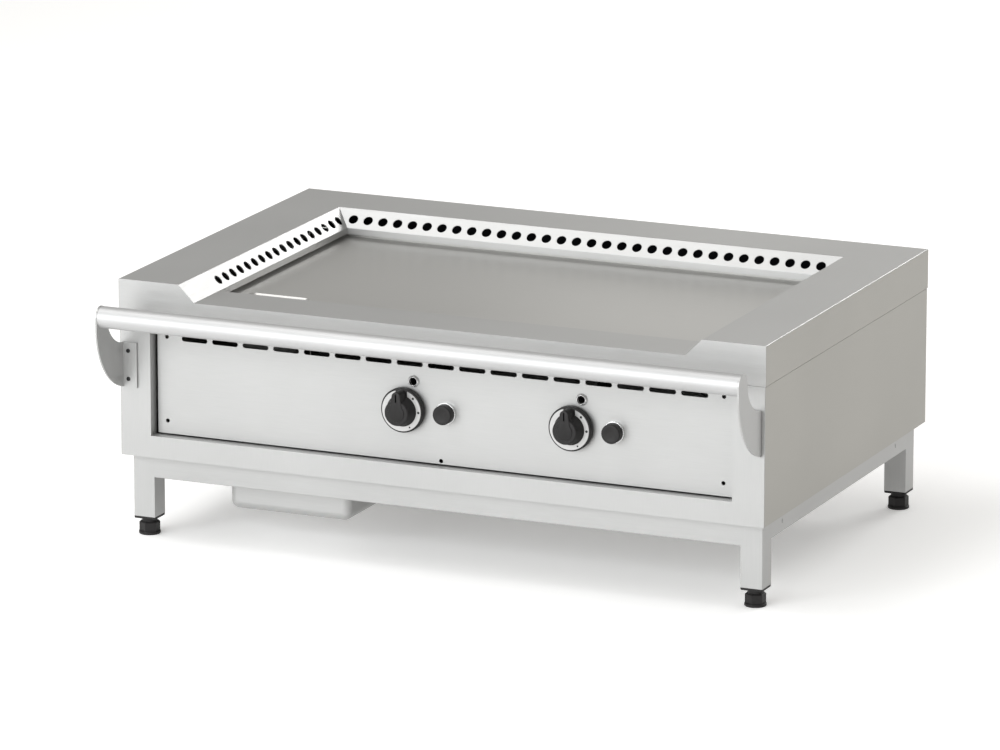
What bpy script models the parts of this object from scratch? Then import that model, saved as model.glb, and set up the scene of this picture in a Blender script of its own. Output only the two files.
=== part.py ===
"""Gas flat top griddle with a perforated surround, handrail, recessed controls and grease tray.

Frame: metres, +Z up, X across the front, the controls face -Y. The origin is on the floor, at the
middle of the footprint of the whole object, handrail included.
"""
import math

import bmesh
import bpy
from mathutils import Vector

# ------------------------------------------------------------------ driving dimensions (metres)
GAP = 0.0003                    # clearance between pieces that touch

WIDTH = 1.200                   # overall width of the top frame
DEPTH = 0.770                   # depth of the top frame, front face to rear face
HEIGHT = 0.462                  # floor to the top of the frame
TOP_HEIGHT = 0.0705             # height of the top frame above the cabinet
CABINET_BASE = 0.1485           # floor to the underside of the cabinet
CABINET_INSET = 0.001           # cabinet sides stand back this much under the top frame

SHEET = 0.0015                  # sheet steel thickness
RIM_WIDTH = 0.1145              # flat part of the surround, at both sides and the rear
SLOPE = 0.030                   # run and fall of the 45 degree perforated slope
FLANGE_DROP = 0.011             # edge turned down around the cooking well
LEDGE_DEPTH = 0.1005            # flat ledge in front of the cooking well

HOLE_D = 0.018                  # surround vent holes
HOLE_PITCH = 0.029
HOLE_UP = 0.0131                # height of the hole centres above the foot of the slope
SIDE_HOLES = 18
REAR_HOLES = 32
SIDE_HOLE_END = 0.0087          # last side hole to the rear corner of the well
HOLE_SIDES = 12

PLATE_THICK = 0.015
PLATE_DROP = 0.0175             # plate surface below the foot of the slope
PLATE_LAP = 0.015               # plate reaches this far under the turned-down edge

GREASE_HOLE_LEFT = 0.0275       # left edge of the well to the grease hole
GREASE_HOLE_LENGTH = 0.110
GREASE_HOLE_WIDTH = 0.050
GREASE_HOLE_BACK = 0.0725       # front edge of the well to the far side of the grease hole
GREASE_CORNER_R = 0.010
CHUTE_WALL = 0.0012
CHUTE_LAP = 0.0015              # chute is larger than the hole by this on each side
CHUTE_TAPER = 0.018             # chute narrows by this on each side below the cabinet
UPSTAND = 0.012                 # rim welded along the hidden edges of the plate
UPSTAND_THICK = 0.003

OPENING_WIDTH = 1.082           # recess of the control panel
OPENING_BASE = 0.0391           # cabinet underside to the recess
OPENING_TOP = 0.0085            # recess to the top of the cabinet
RECESS = 0.020                  # panel face behind the cabinet's front face
PANEL_FLANGE = 0.036            # post flange behind the panel's edge
PANEL_MARGIN = 0.0025           # visible gap around the panel
PANEL_SHEET = 0.0015

SLOT_COUNT = 17
SLOT_PITCH = 0.0581
SLOT_LENGTH = 0.0488
SLOT_HEIGHT = 0.0085
SLOT_DOWN = 0.0303              # cabinet top to the slot centres
PANEL_HOLE_D = 0.0073
PANEL_HOLE_X = 0.5178
PANEL_HOLE_HIGH = 0.0292        # cabinet top to the upper holes
PANEL_HOLE_LOW = 0.0643         # cabinet underside to the lower holes
PANEL_HOLE_MID = 0.0471         # cabinet underside to the middle hole

CONTROL_UP = 0.1325             # cabinet underside to the knob and button axes
KNOB_X = 0.0885                 # middle between the two knobs
KNOB_PITCH = 0.3105
BUTTON_OFFSET = 0.0765          # knob axis to button axis
SIGHT_OFFSET_X = 0.0165         # knob axis to sight hole
SIGHT_OFFSET_Z = 0.0500

KNOB_D = 0.078                  # skirt
KNOB_SKIRT = 0.0115
KNOB_FLOAT = 0.0035             # skirt in front of the panel, more than the knob's travel
KNOB_BODY_D = 0.0540
KNOB_FRONT_D = 0.0410
KNOB_RISE = 0.0230              # knob front face in front of the skirt
KNOB_SOCKET = 0.022
SPINDLE_SHORT = 0.0055          # free room in front of the spindle, more than the knob's travel
GRIP_WIDTH = 0.0215
GRIP_TIP_WIDTH = 0.0170
GRIP_ROUND_D = 0.0260
GRIP_LENGTH = 0.0376            # knob axis to the tip of the grip
DIAL_D = 0.0720
DIAL_BORE_D = 0.0552
DIAL_THICK = 0.0008
SPINDLE_D = 0.008
SPINDLE_FIT = 0.0004            # radial clearance of everything on the spindle
SPINDLE_IN = 0.010              # spindle inside the valve

BUTTON_D = 0.0340
BUTTON_THICK = 0.0152
BUTTON_FIT = 0.0004             # radial clearance between button and collar
BUTTON_FLOAT = 0.0035           # button in front of the collar floor, more than its travel
BUTTON_STEM_D = 0.010
BUTTON_STEM = 0.0230
COLLAR_D = 0.0380
COLLAR_THICK = 0.0060
COLLAR_FLOOR = 0.0010
BARREL_D = 0.0180
BARREL_LENGTH = 0.0320
BARREL_END = 0.0040
SIGHT_D = 0.0210
SIGHT_FRONT_D = 0.0170
SIGHT_BORE_D = 0.0142
SIGHT_RISE = 0.0045

RAIL_D = 0.038
RAIL_WALL = 0.002
RAIL_OUT = 0.084                # front face to the handrail axis
RAIL_DOWN = 0.0485              # top of the frame to the handrail axis
BRACKET_SHEET = 0.003
BRACKET_X = 0.5935              # outer face of a bracket
BRACKET_CAP = 0.0005            # bracket edge beyond the handrail's surface
BRACKET_FLANGE = 0.0285
BRACKET_LOW = 0.2712            # floor to the bottom of the bracket
BRACKET_HIGH = 0.3510           # floor to the top of the bracket's flange
BRACKET_ARC_R = 0.1300          # convex outer edge
BRACKET_ARC_OUT = 0.0270        # centre of the outer edge's arc, inside the front face
NOTCH_R = 0.0700                # concave inner edge
NOTCH_IN = 0.0030               # centre of the inner edge's arc, inside the front face
NOTCH_UP = 0.0697               # centre of the inner edge's arc above the flange

TUBE = 0.040                    # underframe tube
TUBE_WALL = 0.0015
FRAME_INSET_X = 0.0115          # underframe inside the cabinet sides
FRAME_INSET_Y = 0.0250
FRONT_RAIL_HEIGHT = 0.042
SIDE_RAIL_HEIGHT = 0.035
FOOT_HEIGHT = 0.034             # floor to the bottom of the legs
INSERT_PLATE = 0.0042
INSERT_PLUG = 0.018
FOOT_BASE_D = 0.038
FOOT_BASE = 0.006
FOOT_HEX_D = 0.0365             # across the corners
FOOT_HEX = 0.0175
FOOT_NECK_D = 0.027
FOOT_STEM_D = 0.0100
FOOT_STEM_TOP = 0.0750
STEM_FIT = 0.0004

TRAY_WIDTH = 0.230
TRAY_LENGTH = 0.300
TRAY_HEIGHT = 0.0490
TRAY_BASE = 0.0535              # floor to the underside of the tray
TRAY_RIGHT = 0.1950             # middle of the griddle to the tray's right side
TRAY_WALL = 0.0012
TRAY_LIP = 0.0125
TRAY_CORNER_R = 0.015
TRAY_BEHIND = 0.0030            # tray front behind the front rail
RUNNER_SHEET = 0.0020
RUNNER_FIT = 0.0010

BURNER_SPREAD = 0.200           # distance between a burner's two legs
BURNER_D = 0.034
BURNER_BELOW = 0.055            # plate underside to the burner axis
BURNER_AIR_GAP = 0.008          # valve jet to the burner inlet
BURNER_INLET = 0.060            # straight inlet of a burner
BURNER_CHAMFER = 0.035
BURNER_FRONT = 0.030            # front of the well to the end of a burner
BURNER_REAR = 0.045             # rear of the well to the back of a burner
BURNER_BAR = 0.020
BURNER_BAR_FRONT = 0.130        # front of the well to the front bar
BURNER_BAR_REAR = 0.120         # rear of the well to the rear bar
SUPPORT = 0.025                 # square bars that carry the plate
MANIFOLD_D = 0.0270
MANIFOLD_DOWN = 0.0450          # knob axis to the manifold axis
MANIFOLD_START = 0.060          # left knob axis to the manifold's closed end
MANIFOLD_BEND = 0.030
NECK_D = 0.016
VALVE_SIZE = 0.032
VALVE_LENGTH = 0.042
INLET_LOW = 0.1250              # floor to the end of the gas inlet
INLET_X = 0.470
INLET_FROM_REAR = 0.110

# ------------------------------------------------------------------ places worked out from them
RAIL_REACH = RAIL_OUT + RAIL_D / 2 + BRACKET_CAP
FRONT = RAIL_REACH / 2 - DEPTH / 2
REAR = RAIL_REACH / 2 + DEPTH / 2
HALF = WIDTH / 2
SEAM = HEIGHT - TOP_HEIGHT
SLOPE_FOOT = HEIGHT - SLOPE
WELL_X = HALF - RIM_WIDTH - SLOPE
WELL_REAR = REAR - RIM_WIDTH - SLOPE
WELL_FRONT = FRONT + LEDGE_DEPTH
PLATE_TOP = SLOPE_FOOT - PLATE_DROP
PLATE_BASE = PLATE_TOP - PLATE_THICK
CABINET_TOP = SEAM - GAP
CABINET_X = HALF - CABINET_INSET
CABINET_FRONT = FRONT + CABINET_INSET
CABINET_REAR = REAR - CABINET_INSET
OPENING_X = OPENING_WIDTH / 2
OPENING_LOW = CABINET_BASE + OPENING_BASE
OPENING_HIGH = SEAM - OPENING_TOP
PANEL_FACE = FRONT + RECESS
PANEL_BACK = PANEL_FACE + PANEL_SHEET
CONTROL_Z = CABINET_BASE + CONTROL_UP
FLANGE_FACE = PANEL_BACK + GAP
FLANGE_BACK = FLANGE_FACE + SHEET
KNOB_BACK = PANEL_FACE - KNOB_FLOAT
BUTTON_BACK = PANEL_FACE - GAP - COLLAR_FLOOR - BUTTON_FLOAT
VALVE_FACE = PANEL_BACK + GAP
VALVE_END = VALVE_FACE + VALVE_LENGTH
SPINDLE_FRONT = KNOB_BACK - KNOB_SOCKET + SPINDLE_SHORT
SPINDLE_END = VALVE_FACE + SPINDLE_IN
RAIL_Y = FRONT - RAIL_OUT
RAIL_Z = HEIGHT - RAIL_DOWN
BRACKET_INNER_X = BRACKET_X - BRACKET_SHEET
FRAME_X = CABINET_X - FRAME_INSET_X
FRAME_FRONT = FRONT + FRAME_INSET_Y
FRAME_REAR = REAR - FRAME_INSET_Y
FRAME_TOP = CABINET_BASE - GAP
KNOB_XS = {"left": KNOB_X - KNOB_PITCH / 2, "right": KNOB_X + KNOB_PITCH / 2}
TRAY_X1 = -TRAY_RIGHT
TRAY_X0 = TRAY_X1 - TRAY_WIDTH
TRAY_FRONT = FRAME_FRONT + TUBE + TRAY_BEHIND
TRAY_TOP = TRAY_BASE + TRAY_HEIGHT
GREASE_X0 = -WELL_X + GREASE_HOLE_LEFT
GREASE_X1 = GREASE_X0 + GREASE_HOLE_LENGTH
GREASE_Y1 = WELL_FRONT + GREASE_HOLE_BACK
GREASE_Y0 = GREASE_Y1 - GREASE_HOLE_WIDTH
CHUTE_LOW = TRAY_TOP + RUNNER_FIT
INNER_X = CABINET_X - SHEET - GAP
MITRE_GAP = GAP * math.sqrt(2)
SIDES = (("left", -1), ("right", 1))
ENDS = (("front", FRAME_FRONT, 1), ("rear", FRAME_REAR, -1))

# ------------------------------------------------------------------ materials
FINISHES = {
    "sheet_steel": ((0.60, 0.60, 0.58), 0.34, 1.0),
    "plate_steel": ((0.52, 0.51, 0.49), 0.38, 1.0),
    "rail_steel": ((0.68, 0.68, 0.67), 0.22, 1.0),
    "black_plastic": ((0.035, 0.033, 0.033), 0.42, 0.0),
    "chrome": ((0.80, 0.80, 0.80), 0.12, 1.0),
    "zinc_steel": ((0.50, 0.50, 0.48), 0.45, 1.0),
    "brass": ((0.62, 0.48, 0.20), 0.35, 1.0),
    "burner_iron": ((0.10, 0.10, 0.10), 0.60, 1.0),
}


def finish(name):
    """One Principled material for each finish, made when it is first used."""
    made = bpy.data.materials.get(name)
    if made:
        return made
    colour, roughness, metallic = FINISHES[name]
    made = bpy.data.materials.new(name)
    made.use_nodes = True
    shader = made.node_tree.nodes["Principled BSDF"]
    shader.inputs["Base Color"].default_value = (*colour, 1.0)
    shader.inputs["Roughness"].default_value = roughness
    shader.inputs["Metallic"].default_value = metallic
    return made


# ------------------------------------------------------------------ modelling helpers
def clear_scene():
    for old in list(bpy.data.objects):
        bpy.data.objects.remove(old, do_unlink=True)


def add(name, bm, material, location=(0, 0, 0), smooth=False):
    """Turn a bmesh, drawn about its own origin, into a named object at a location."""
    bmesh.ops.recalc_face_normals(bm, faces=bm.faces)
    mesh = bpy.data.meshes.new(name)
    bm.to_mesh(mesh)
    bm.free()
    mesh.materials.append(finish(material))
    if smooth:
        mesh.shade_smooth()
        mesh.set_sharp_from_angle(angle=math.radians(35))
    made = bpy.data.objects.new(name, mesh)
    made.location = location
    bpy.context.collection.objects.link(made)
    return made


def block(x0, x1, y0, y1, z0, z1):
    bm = bmesh.new()
    bmesh.ops.create_cube(bm, size=1)
    bmesh.ops.scale(bm, vec=(x1 - x0, y1 - y0, z1 - z0), verts=bm.verts)
    bmesh.ops.translate(bm, vec=((x0 + x1) / 2, (y0 + y1) / 2, (z0 + z1) / 2), verts=bm.verts)
    return bm


def prism(outline, axis, start, end):
    """Extrude a 2-D outline along an axis. The outline's axes are the other two, in X, Y, Z order."""
    bm = bmesh.new()
    order = {"X": lambda a, b: (start, a, b), "Y": lambda a, b: (a, start, b), "Z": lambda a, b: (a, b, start)}
    travel = {"X": (end - start, 0, 0), "Y": (0, end - start, 0), "Z": (0, 0, end - start)}
    base = bm.faces.new([bm.verts.new(order[axis](a, b)) for a, b in outline])
    grown = bmesh.ops.extrude_face_region(bm, geom=[base])
    moved = [v for v in grown["geom"] if isinstance(v, bmesh.types.BMVert)]
    bmesh.ops.translate(bm, vec=travel[axis], verts=moved)
    return bm


def arc(centre, radius, start, end, steps):
    """Points on an arc, angles in degrees, both ends included."""
    turns = [math.radians(start + (end - start) * i / steps) for i in range(steps + 1)]
    return [(centre[0] + radius * math.cos(t), centre[1] + radius * math.sin(t)) for t in turns]


def circle(centre, radius, sides, phase=0.0):
    return arc(centre, radius, phase, phase + 360 * (sides - 1) / sides, sides - 1)


def rounded_rect(x0, x1, y0, y1, radius, steps=3):
    corners = ((x1 - radius, y1 - radius, 0), (x0 + radius, y1 - radius, 90),
               (x0 + radius, y0 + radius, 180), (x1 - radius, y0 + radius, 270))
    return [p for x, y, a in corners for p in arc((x, y), radius, a, a + 90, steps)]


def turned(profile, axis, sides):
    """Revolve (radius, height) points about an axis, a closed loop when it never meets the axis."""
    bm = bmesh.new()
    rings = []
    for i in range(sides):
        turn = 2 * math.pi * i / sides
        rings.append([(r * math.cos(turn), r * math.sin(turn), h) for r, h in profile])
    on_axis = [r < 1e-9 for r, _ in profile]
    verts = []
    for i, ring in enumerate(rings):
        verts.append([verts[0][j] if i and on_axis[j] else bm.verts.new(p) for j, p in enumerate(ring)])
    for i in range(sides):
        here, there = verts[i], verts[(i + 1) % sides]
        for j in range(len(profile)):
            k = (j + 1) % len(profile)
            loop = [here[j], there[j], there[k], here[k]]
            unique = [v for n, v in enumerate(loop) if v not in loop[:n]]
            if len(unique) > 2:
                bm.faces.new(unique)
    if axis == "-Y":
        for v in bm.verts:
            v.co = Vector((v.co.x, -v.co.z, v.co.y))
    if axis == "X":
        for v in bm.verts:
            v.co = Vector((v.co.z, v.co.y, -v.co.x))
    return bm


def pipe(path, radius, sides):
    """A round bar along a path of straight runs, mitred at its corners."""
    bm = bmesh.new()
    points = [Vector(p) for p in path]
    heading = (points[1] - points[0]).normalized()
    side = heading.orthogonal().normalized()
    rings = []
    for i, point in enumerate(points):
        before = (point - points[i - 1]).normalized() if i else heading
        after = (points[i + 1] - point).normalized() if i + 1 < len(points) else before
        middle = (before + after).normalized()
        lean = 1 / max(middle.dot(before), 0.2)
        side = before.rotation_difference(after) @ side if i and i + 1 < len(points) else side
        across = (side - middle * side.dot(middle)).normalized()
        other = middle.cross(across)
        bend = (after - before)
        bend = bend.normalized() if bend.length > 1e-6 else Vector((0, 0, 0))
        ring = []
        for n in range(sides):
            turn = 2 * math.pi * n / sides
            spoke = (across * math.cos(turn) + other * math.sin(turn)) * radius
            spoke += bend * spoke.dot(bend) * (lean - 1)
            ring.append(bm.verts.new(point + spoke))
        rings.append(ring)
    for ring, after in zip(rings, rings[1:]):
        for n in range(sides):
            m = (n + 1) % sides
            bm.faces.new((ring[n], ring[m], after[m], after[n]))
    bm.faces.new(rings[0])
    bm.faces.new(rings[-1])
    return bm


def combine(made, pieces, operation):
    """Join to a solid, or cut from it, every bmesh in the list, drawn about the solid's own origin."""
    for bm in pieces:
        bmesh.ops.recalc_face_normals(bm, faces=bm.faces)
        mesh = bpy.data.meshes.new("cutter")
        bm.to_mesh(mesh)
        bm.free()
        tool = bpy.data.objects.new("cutter", mesh)
        tool.location = made.location
        bpy.context.collection.objects.link(tool)
        step = made.modifiers.new("shape", "BOOLEAN")
        step.operation = operation
        step.solver = "EXACT"
        step.object = tool
        bpy.context.view_layer.update()
        shaped = made.evaluated_get(bpy.context.evaluated_depsgraph_get())
        result = bpy.data.meshes.new_from_object(shaped)
        made.modifiers.clear()
        old = made.data
        result.name = old.name
        made.data = result
        bpy.data.meshes.remove(old)
        bpy.data.objects.remove(tool)
        bpy.data.meshes.remove(mesh)
    return made


def cut(made, *pieces):
    return combine(made, pieces, "DIFFERENCE")


def join(made, *pieces):
    return combine(made, pieces, "UNION")


def joined(shapes):
    """Put bmeshes that don't touch each other into one, to cut them all at once."""
    whole = bmesh.new()
    for bm in shapes:
        mesh = bpy.data.meshes.new("part")
        bm.to_mesh(mesh)
        bm.free()
        whole.from_mesh(mesh)
        bpy.data.meshes.remove(mesh)
    return whole


# ------------------------------------------------------------------ top frame
def surround_outline(t=SHEET):
    """Section of the surround from its outer face (0) inwards, as (inward, height)."""
    run = RIM_WIDTH
    foot = RIM_WIDTH + SLOPE
    lean = t * math.tan(math.radians(22.5))
    outer = [(0, SEAM), (0, HEIGHT), (run, HEIGHT), (foot, SLOPE_FOOT), (foot, SLOPE_FOOT - FLANGE_DROP)]
    inner = [(foot - t, SLOPE_FOOT - FLANGE_DROP), (foot - t, SLOPE_FOOT - lean), (run - lean, HEIGHT - t),
             (t, HEIGHT - t), (t, SEAM)]
    return outer + inner


def slope_hole(x, y, outward):
    """A round cutter across the slope, leaning along the outward direction."""
    bm = turned([(0, -0.012), (HOLE_D / 2, -0.012), (HOLE_D / 2, 0.012), (0, 0.012)], "Z", HOLE_SIDES)
    lean = Vector((0, 0, 1)).rotation_difference(Vector((-outward[0], -outward[1], 1)).normalized())
    centre = Vector((x, y, SLOPE_FOOT + HOLE_UP))
    for v in bm.verts:
        v.co = lean @ v.co + centre
    return bm


def mitre_wedge(side):
    """What the rear surround fills behind the 45 degree mitre, seen from above."""
    x_out = side * (HALF + 0.01)
    x_in = side * (WELL_X - 0.02)
    y_out = REAR + 0.01
    y_in = REAR - (HALF - abs(x_in))
    outline = [(x_out, y_out - MITRE_GAP), (x_out, REAR + 0.05), (x_in, REAR + 0.05), (x_in, y_in - MITRE_GAP)]
    return prism(outline, "Z", SEAM - 0.01, HEIGHT + 0.01)


def side_surround(name, side):
    outline = [(side * (HALF - a), z) for a, z in surround_outline()]
    made = add(name, prism(outline, "Y", FRONT + SHEET + GAP, REAR), "sheet_steel")
    last = WELL_REAR - SIDE_HOLE_END
    x = side * (WELL_X + HOLE_UP)
    holes = [slope_hole(x, last - i * HOLE_PITCH, (side, 0)) for i in range(SIDE_HOLES)]
    notch = block(*sorted((side * (WELL_X - 0.01), side * (HALF - RIM_WIDTH + 0.03))), FRONT,
                  WELL_FRONT + GAP, SLOPE_FOOT - FLANGE_DROP - 0.01, SLOPE_FOOT - SHEET - GAP)
    return cut(made, mitre_wedge(side), joined(holes), notch)


def rear_surround():
    outline = [(REAR - a, z) for a, z in surround_outline()]
    made = add("top_frame_rear", prism(outline, "X", -HALF, HALF), "sheet_steel")
    y = WELL_REAR + HOLE_UP
    first = -HOLE_PITCH * (REAR_HOLES - 1) / 2
    holes = [slope_hole(first + i * HOLE_PITCH, y, (0, 1)) for i in range(REAR_HOLES)]
    keep = []
    for side in (-1, 1):
        reach = HALF - WELL_X + 0.05
        outline = [(side * (HALF + 0.05), REAR + 0.05), (side * (WELL_X - 0.05), REAR - reach),
                   (side * (HALF + 0.05), REAR - reach)]
        keep.append(prism(outline, "Z", SEAM - 0.01, HEIGHT + 0.01))
    return cut(made, *keep, joined(holes))


def front_surround():
    """Full-width fascia with the ledge behind it and the ledge's turned-down rear edge."""
    run = HALF - RIM_WIDTH
    outline = [(-HALF, SEAM), (HALF, SEAM), (HALF, HEIGHT), (run, HEIGHT), (WELL_X, SLOPE_FOOT),
               (-WELL_X, SLOPE_FOOT), (-run, HEIGHT), (-HALF, HEIGHT)]
    made = add("top_frame_front", prism(outline, "Y", FRONT, FRONT + SHEET), "sheet_steel")
    ledge = block(-WELL_X + GAP, WELL_X - GAP, FRONT + SHEET / 2, WELL_FRONT, SLOPE_FOOT - SHEET, SLOPE_FOOT)
    edge = block(-WELL_X + GAP, WELL_X - GAP, WELL_FRONT - SHEET, WELL_FRONT,
                 SLOPE_FOOT - FLANGE_DROP, SLOPE_FOOT - SHEET / 2)
    return join(made, ledge, edge)


def build_top():
    side_surround("top_frame_left", -1)
    side_surround("top_frame_right", 1)
    rear_surround()
    front_surround()


# ------------------------------------------------------------------ cooking plate and grease path
def build_plate():
    plate = add("griddle_plate", block(-WELL_X - PLATE_LAP, WELL_X + PLATE_LAP, WELL_FRONT - PLATE_LAP,
                                       WELL_REAR + PLATE_LAP, PLATE_BASE, PLATE_TOP), "plate_steel")
    low, high, t = PLATE_TOP - 0.002, PLATE_TOP + UPSTAND, UPSTAND_THICK
    x1, y0, y1 = WELL_X + PLATE_LAP, WELL_FRONT - PLATE_LAP, WELL_REAR + PLATE_LAP
    rim = [(-x1, y0 + t), (-x1 + t, y0 + t), (-x1 + t, y1 - t), (x1 - t, y1 - t), (x1 - t, y0 + t), (x1, y0 + t),
           (x1, y1), (-x1, y1)]
    join(plate, prism(rim, "Z", low, high))
    hole = rounded_rect(GREASE_X0, GREASE_X1, GREASE_Y0, GREASE_Y1, GREASE_CORNER_R)
    cut(plate, prism(hole, "Z", PLATE_BASE - 0.01, PLATE_TOP + 0.01))
    spots = (("front", WELL_FRONT - PLATE_LAP), ("rear", WELL_REAR + PLATE_LAP - SUPPORT))
    for end, y in spots:
        bar = block(-INNER_X, INNER_X, y, y + SUPPORT, PLATE_BASE - GAP - SUPPORT, PLATE_BASE - GAP)
        add("plate_support_" + end, bar, "zinc_steel")


def chute_outline(grow, narrow=0.0):
    return rounded_rect(GREASE_X0 - grow + narrow, GREASE_X1 + grow - narrow, GREASE_Y0 - grow, GREASE_Y1 + grow,
                        GREASE_CORNER_R + grow)


def build_chute():
    """Duct from the grease hole, straight inside the cabinet and narrower below it."""
    outside, inside = CHUTE_LAP + CHUTE_WALL, CHUTE_LAP
    mid = CABINET_BASE - 0.004
    outer = taper(chute_outline(outside, CHUTE_TAPER), CHUTE_LOW, chute_outline(outside), mid, PLATE_BASE - GAP)
    chute = add("grease_chute", outer, "zinc_steel", smooth=True)
    slope = (mid - CHUTE_LOW) / CHUTE_TAPER
    low = CHUTE_LOW - 0.010
    narrow = CHUTE_TAPER + 0.010 / slope
    inner = taper(chute_outline(inside, narrow), low, chute_outline(inside), mid, PLATE_BASE + 0.010)
    cut(chute, inner)


def build_tray():
    """Deep drawn tray with rounded corners, hung by its side lips on two runners."""
    r, w = TRAY_CORNER_R, TRAY_WALL
    y0, y1 = TRAY_FRONT, TRAY_FRONT + TRAY_LENGTH
    lip = [(TRAY_X0 - TRAY_LIP, TRAY_TOP - w), (TRAY_X1 + TRAY_LIP, TRAY_TOP - w),
           (TRAY_X1 + TRAY_LIP, TRAY_TOP), (TRAY_X0 - TRAY_LIP, TRAY_TOP)]
    steps = 4
    levels = [(r * (1 - math.cos(math.radians(90 * i / steps))), r * (1 - math.sin(math.radians(90 * i / steps))))
              for i in range(steps + 1)]
    shell = bmesh.new()
    rings = []
    for up, shrink in levels + [(TRAY_HEIGHT, 0.0)]:
        ring = rounded_rect(TRAY_X0 + shrink, TRAY_X1 - shrink, y0 + shrink, y1 - shrink, max(r - shrink, 0.002))
        rings.append([shell.verts.new((x, y, TRAY_BASE + up)) for x, y in ring])
    for lower, upper in zip(rings, rings[1:]):
        for n in range(len(lower)):
            m = (n + 1) % len(lower)
            shell.faces.new((lower[n], lower[m], upper[m], upper[n]))
    shell.faces.new(rings[0])
    shell.faces.new(rings[-1])
    tray = add("grease_tray", shell, "sheet_steel", smooth=True)
    join(tray, prism(lip, "Y", y0 + 2 * r, y1 - w))
    hollow = rounded_rect(TRAY_X0 + w, TRAY_X1 - w, y0 + w, y1 - w, r - w)
    floor = rounded_rect(TRAY_X0 + r, TRAY_X1 - r, y0 + r, y1 - r, 0.002)
    cut(tray, taper(floor, TRAY_BASE + w, hollow, TRAY_BASE + r, TRAY_TOP + 0.01))
    for name, side, wall in (("left", -1, TRAY_X0 - TRAY_LIP), ("right", 1, TRAY_X1 + TRAY_LIP)):
        near = wall + side * RUNNER_FIT
        far = near + side * RUNNER_SHEET
        under = wall - side * (TRAY_LIP - 2 * RUNNER_FIT)
        z_lip = TRAY_TOP - w - GAP
        outline = [(under, z_lip - RUNNER_SHEET), (far, z_lip - RUNNER_SHEET), (far, FRAME_TOP),
                   (near, FRAME_TOP), (near, z_lip), (under, z_lip)]
        add("tray_runner_" + name, prism(outline, "Y", TRAY_FRONT, y1 + 2 * RUNNER_SHEET), "zinc_steel")


def taper(low, z_low, high, z_mid, z_top):
    """A closed shape that opens from one outline to a larger one, then goes straight up."""
    bm = bmesh.new()
    rings = [[bm.verts.new((x, y, z)) for x, y in ring] for ring, z in ((low, z_low), (high, z_mid), (high, z_top))]
    for lower, upper in zip(rings, rings[1:]):
        for n in range(len(lower)):
            m = (n + 1) % len(lower)
            bm.faces.new((lower[n], lower[m], upper[m], upper[n]))
    bm.faces.new(rings[0])
    bm.faces.new(rings[-1])
    return bm


# ------------------------------------------------------------------ cabinet
def build_cabinet():
    front, skin = CABINET_FRONT, CABINET_FRONT + SHEET
    for name, side in SIDES:
        x0, x1 = sorted((side * CABINET_X, side * (CABINET_X - SHEET)))
        panel = block(x0, x1, skin + GAP, CABINET_REAR, CABINET_BASE, CABINET_TOP)
        add(name + "_side_panel", panel, "sheet_steel")
        outline = [(OPENING_X, front), (CABINET_X, front), (CABINET_X, skin), (OPENING_X + SHEET, skin),
                   (OPENING_X + SHEET, FLANGE_BACK), (OPENING_X - PANEL_FLANGE, FLANGE_BACK),
                   (OPENING_X - PANEL_FLANGE, FLANGE_FACE), (OPENING_X, FLANGE_FACE)]
        outline = [(side * x, y) for x, y in outline]
        post = add("front_post_" + name, prism(outline, "Z", CABINET_BASE, CABINET_TOP), "sheet_steel")
        holes = [circle((side * PANEL_HOLE_X, z), PANEL_HOLE_D / 2, 8)
                 for z in (SEAM - PANEL_HOLE_HIGH, CABINET_BASE + PANEL_HOLE_LOW)]
        cut(post, joined([prism(hole, "Y", FLANGE_FACE - 0.002, FLANGE_BACK + 0.002) for hole in holes]))
        x0, x1 = sorted((side * (OPENING_X - 2 * PANEL_FLANGE), side * (OPENING_X - GAP)))
        cut(post, block(x0, x1, front, FLANGE_BACK + 0.002, CABINET_BASE - 0.01, OPENING_LOW + 2 * PANEL_MARGIN))
    rear = block(-INNER_X, INNER_X, CABINET_REAR - SHEET, CABINET_REAR, CABINET_BASE, CABINET_TOP)
    add("rear_panel", rear, "sheet_steel")
    floor = block(-INNER_X, INNER_X, FLANGE_BACK + GAP, CABINET_REAR - SHEET - GAP,
                  CABINET_BASE, CABINET_BASE + SHEET)
    base = add("base_panel", floor, "zinc_steel")
    chute_pass = chute_outline(CHUTE_LAP + CHUTE_WALL + GAP)
    inlet_pass = circle((INLET_X, REAR - INLET_FROM_REAR), MANIFOLD_D / 2 + GAP * 2, 24)
    cut(base, prism(chute_pass, "Z", CABINET_BASE - 0.01, CABINET_BASE + 0.01),
        prism(inlet_pass, "Z", CABINET_BASE - 0.01, CABINET_BASE + 0.01))
    x1 = OPENING_X - GAP
    back = PANEL_BACK
    low = [(front, CABINET_BASE), (front, OPENING_LOW), (back, OPENING_LOW), (back, OPENING_LOW - SHEET),
           (skin, OPENING_LOW - SHEET), (skin, CABINET_BASE)]
    add("front_lower_rail", prism(low, "X", -x1, x1), "sheet_steel")
    high = [(front, CABINET_TOP), (front, OPENING_HIGH), (back, OPENING_HIGH), (back, OPENING_HIGH + SHEET),
            (skin, OPENING_HIGH + SHEET), (skin, CABINET_TOP)]
    add("front_upper_rail", prism(high, "X", -x1, x1), "sheet_steel")


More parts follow.
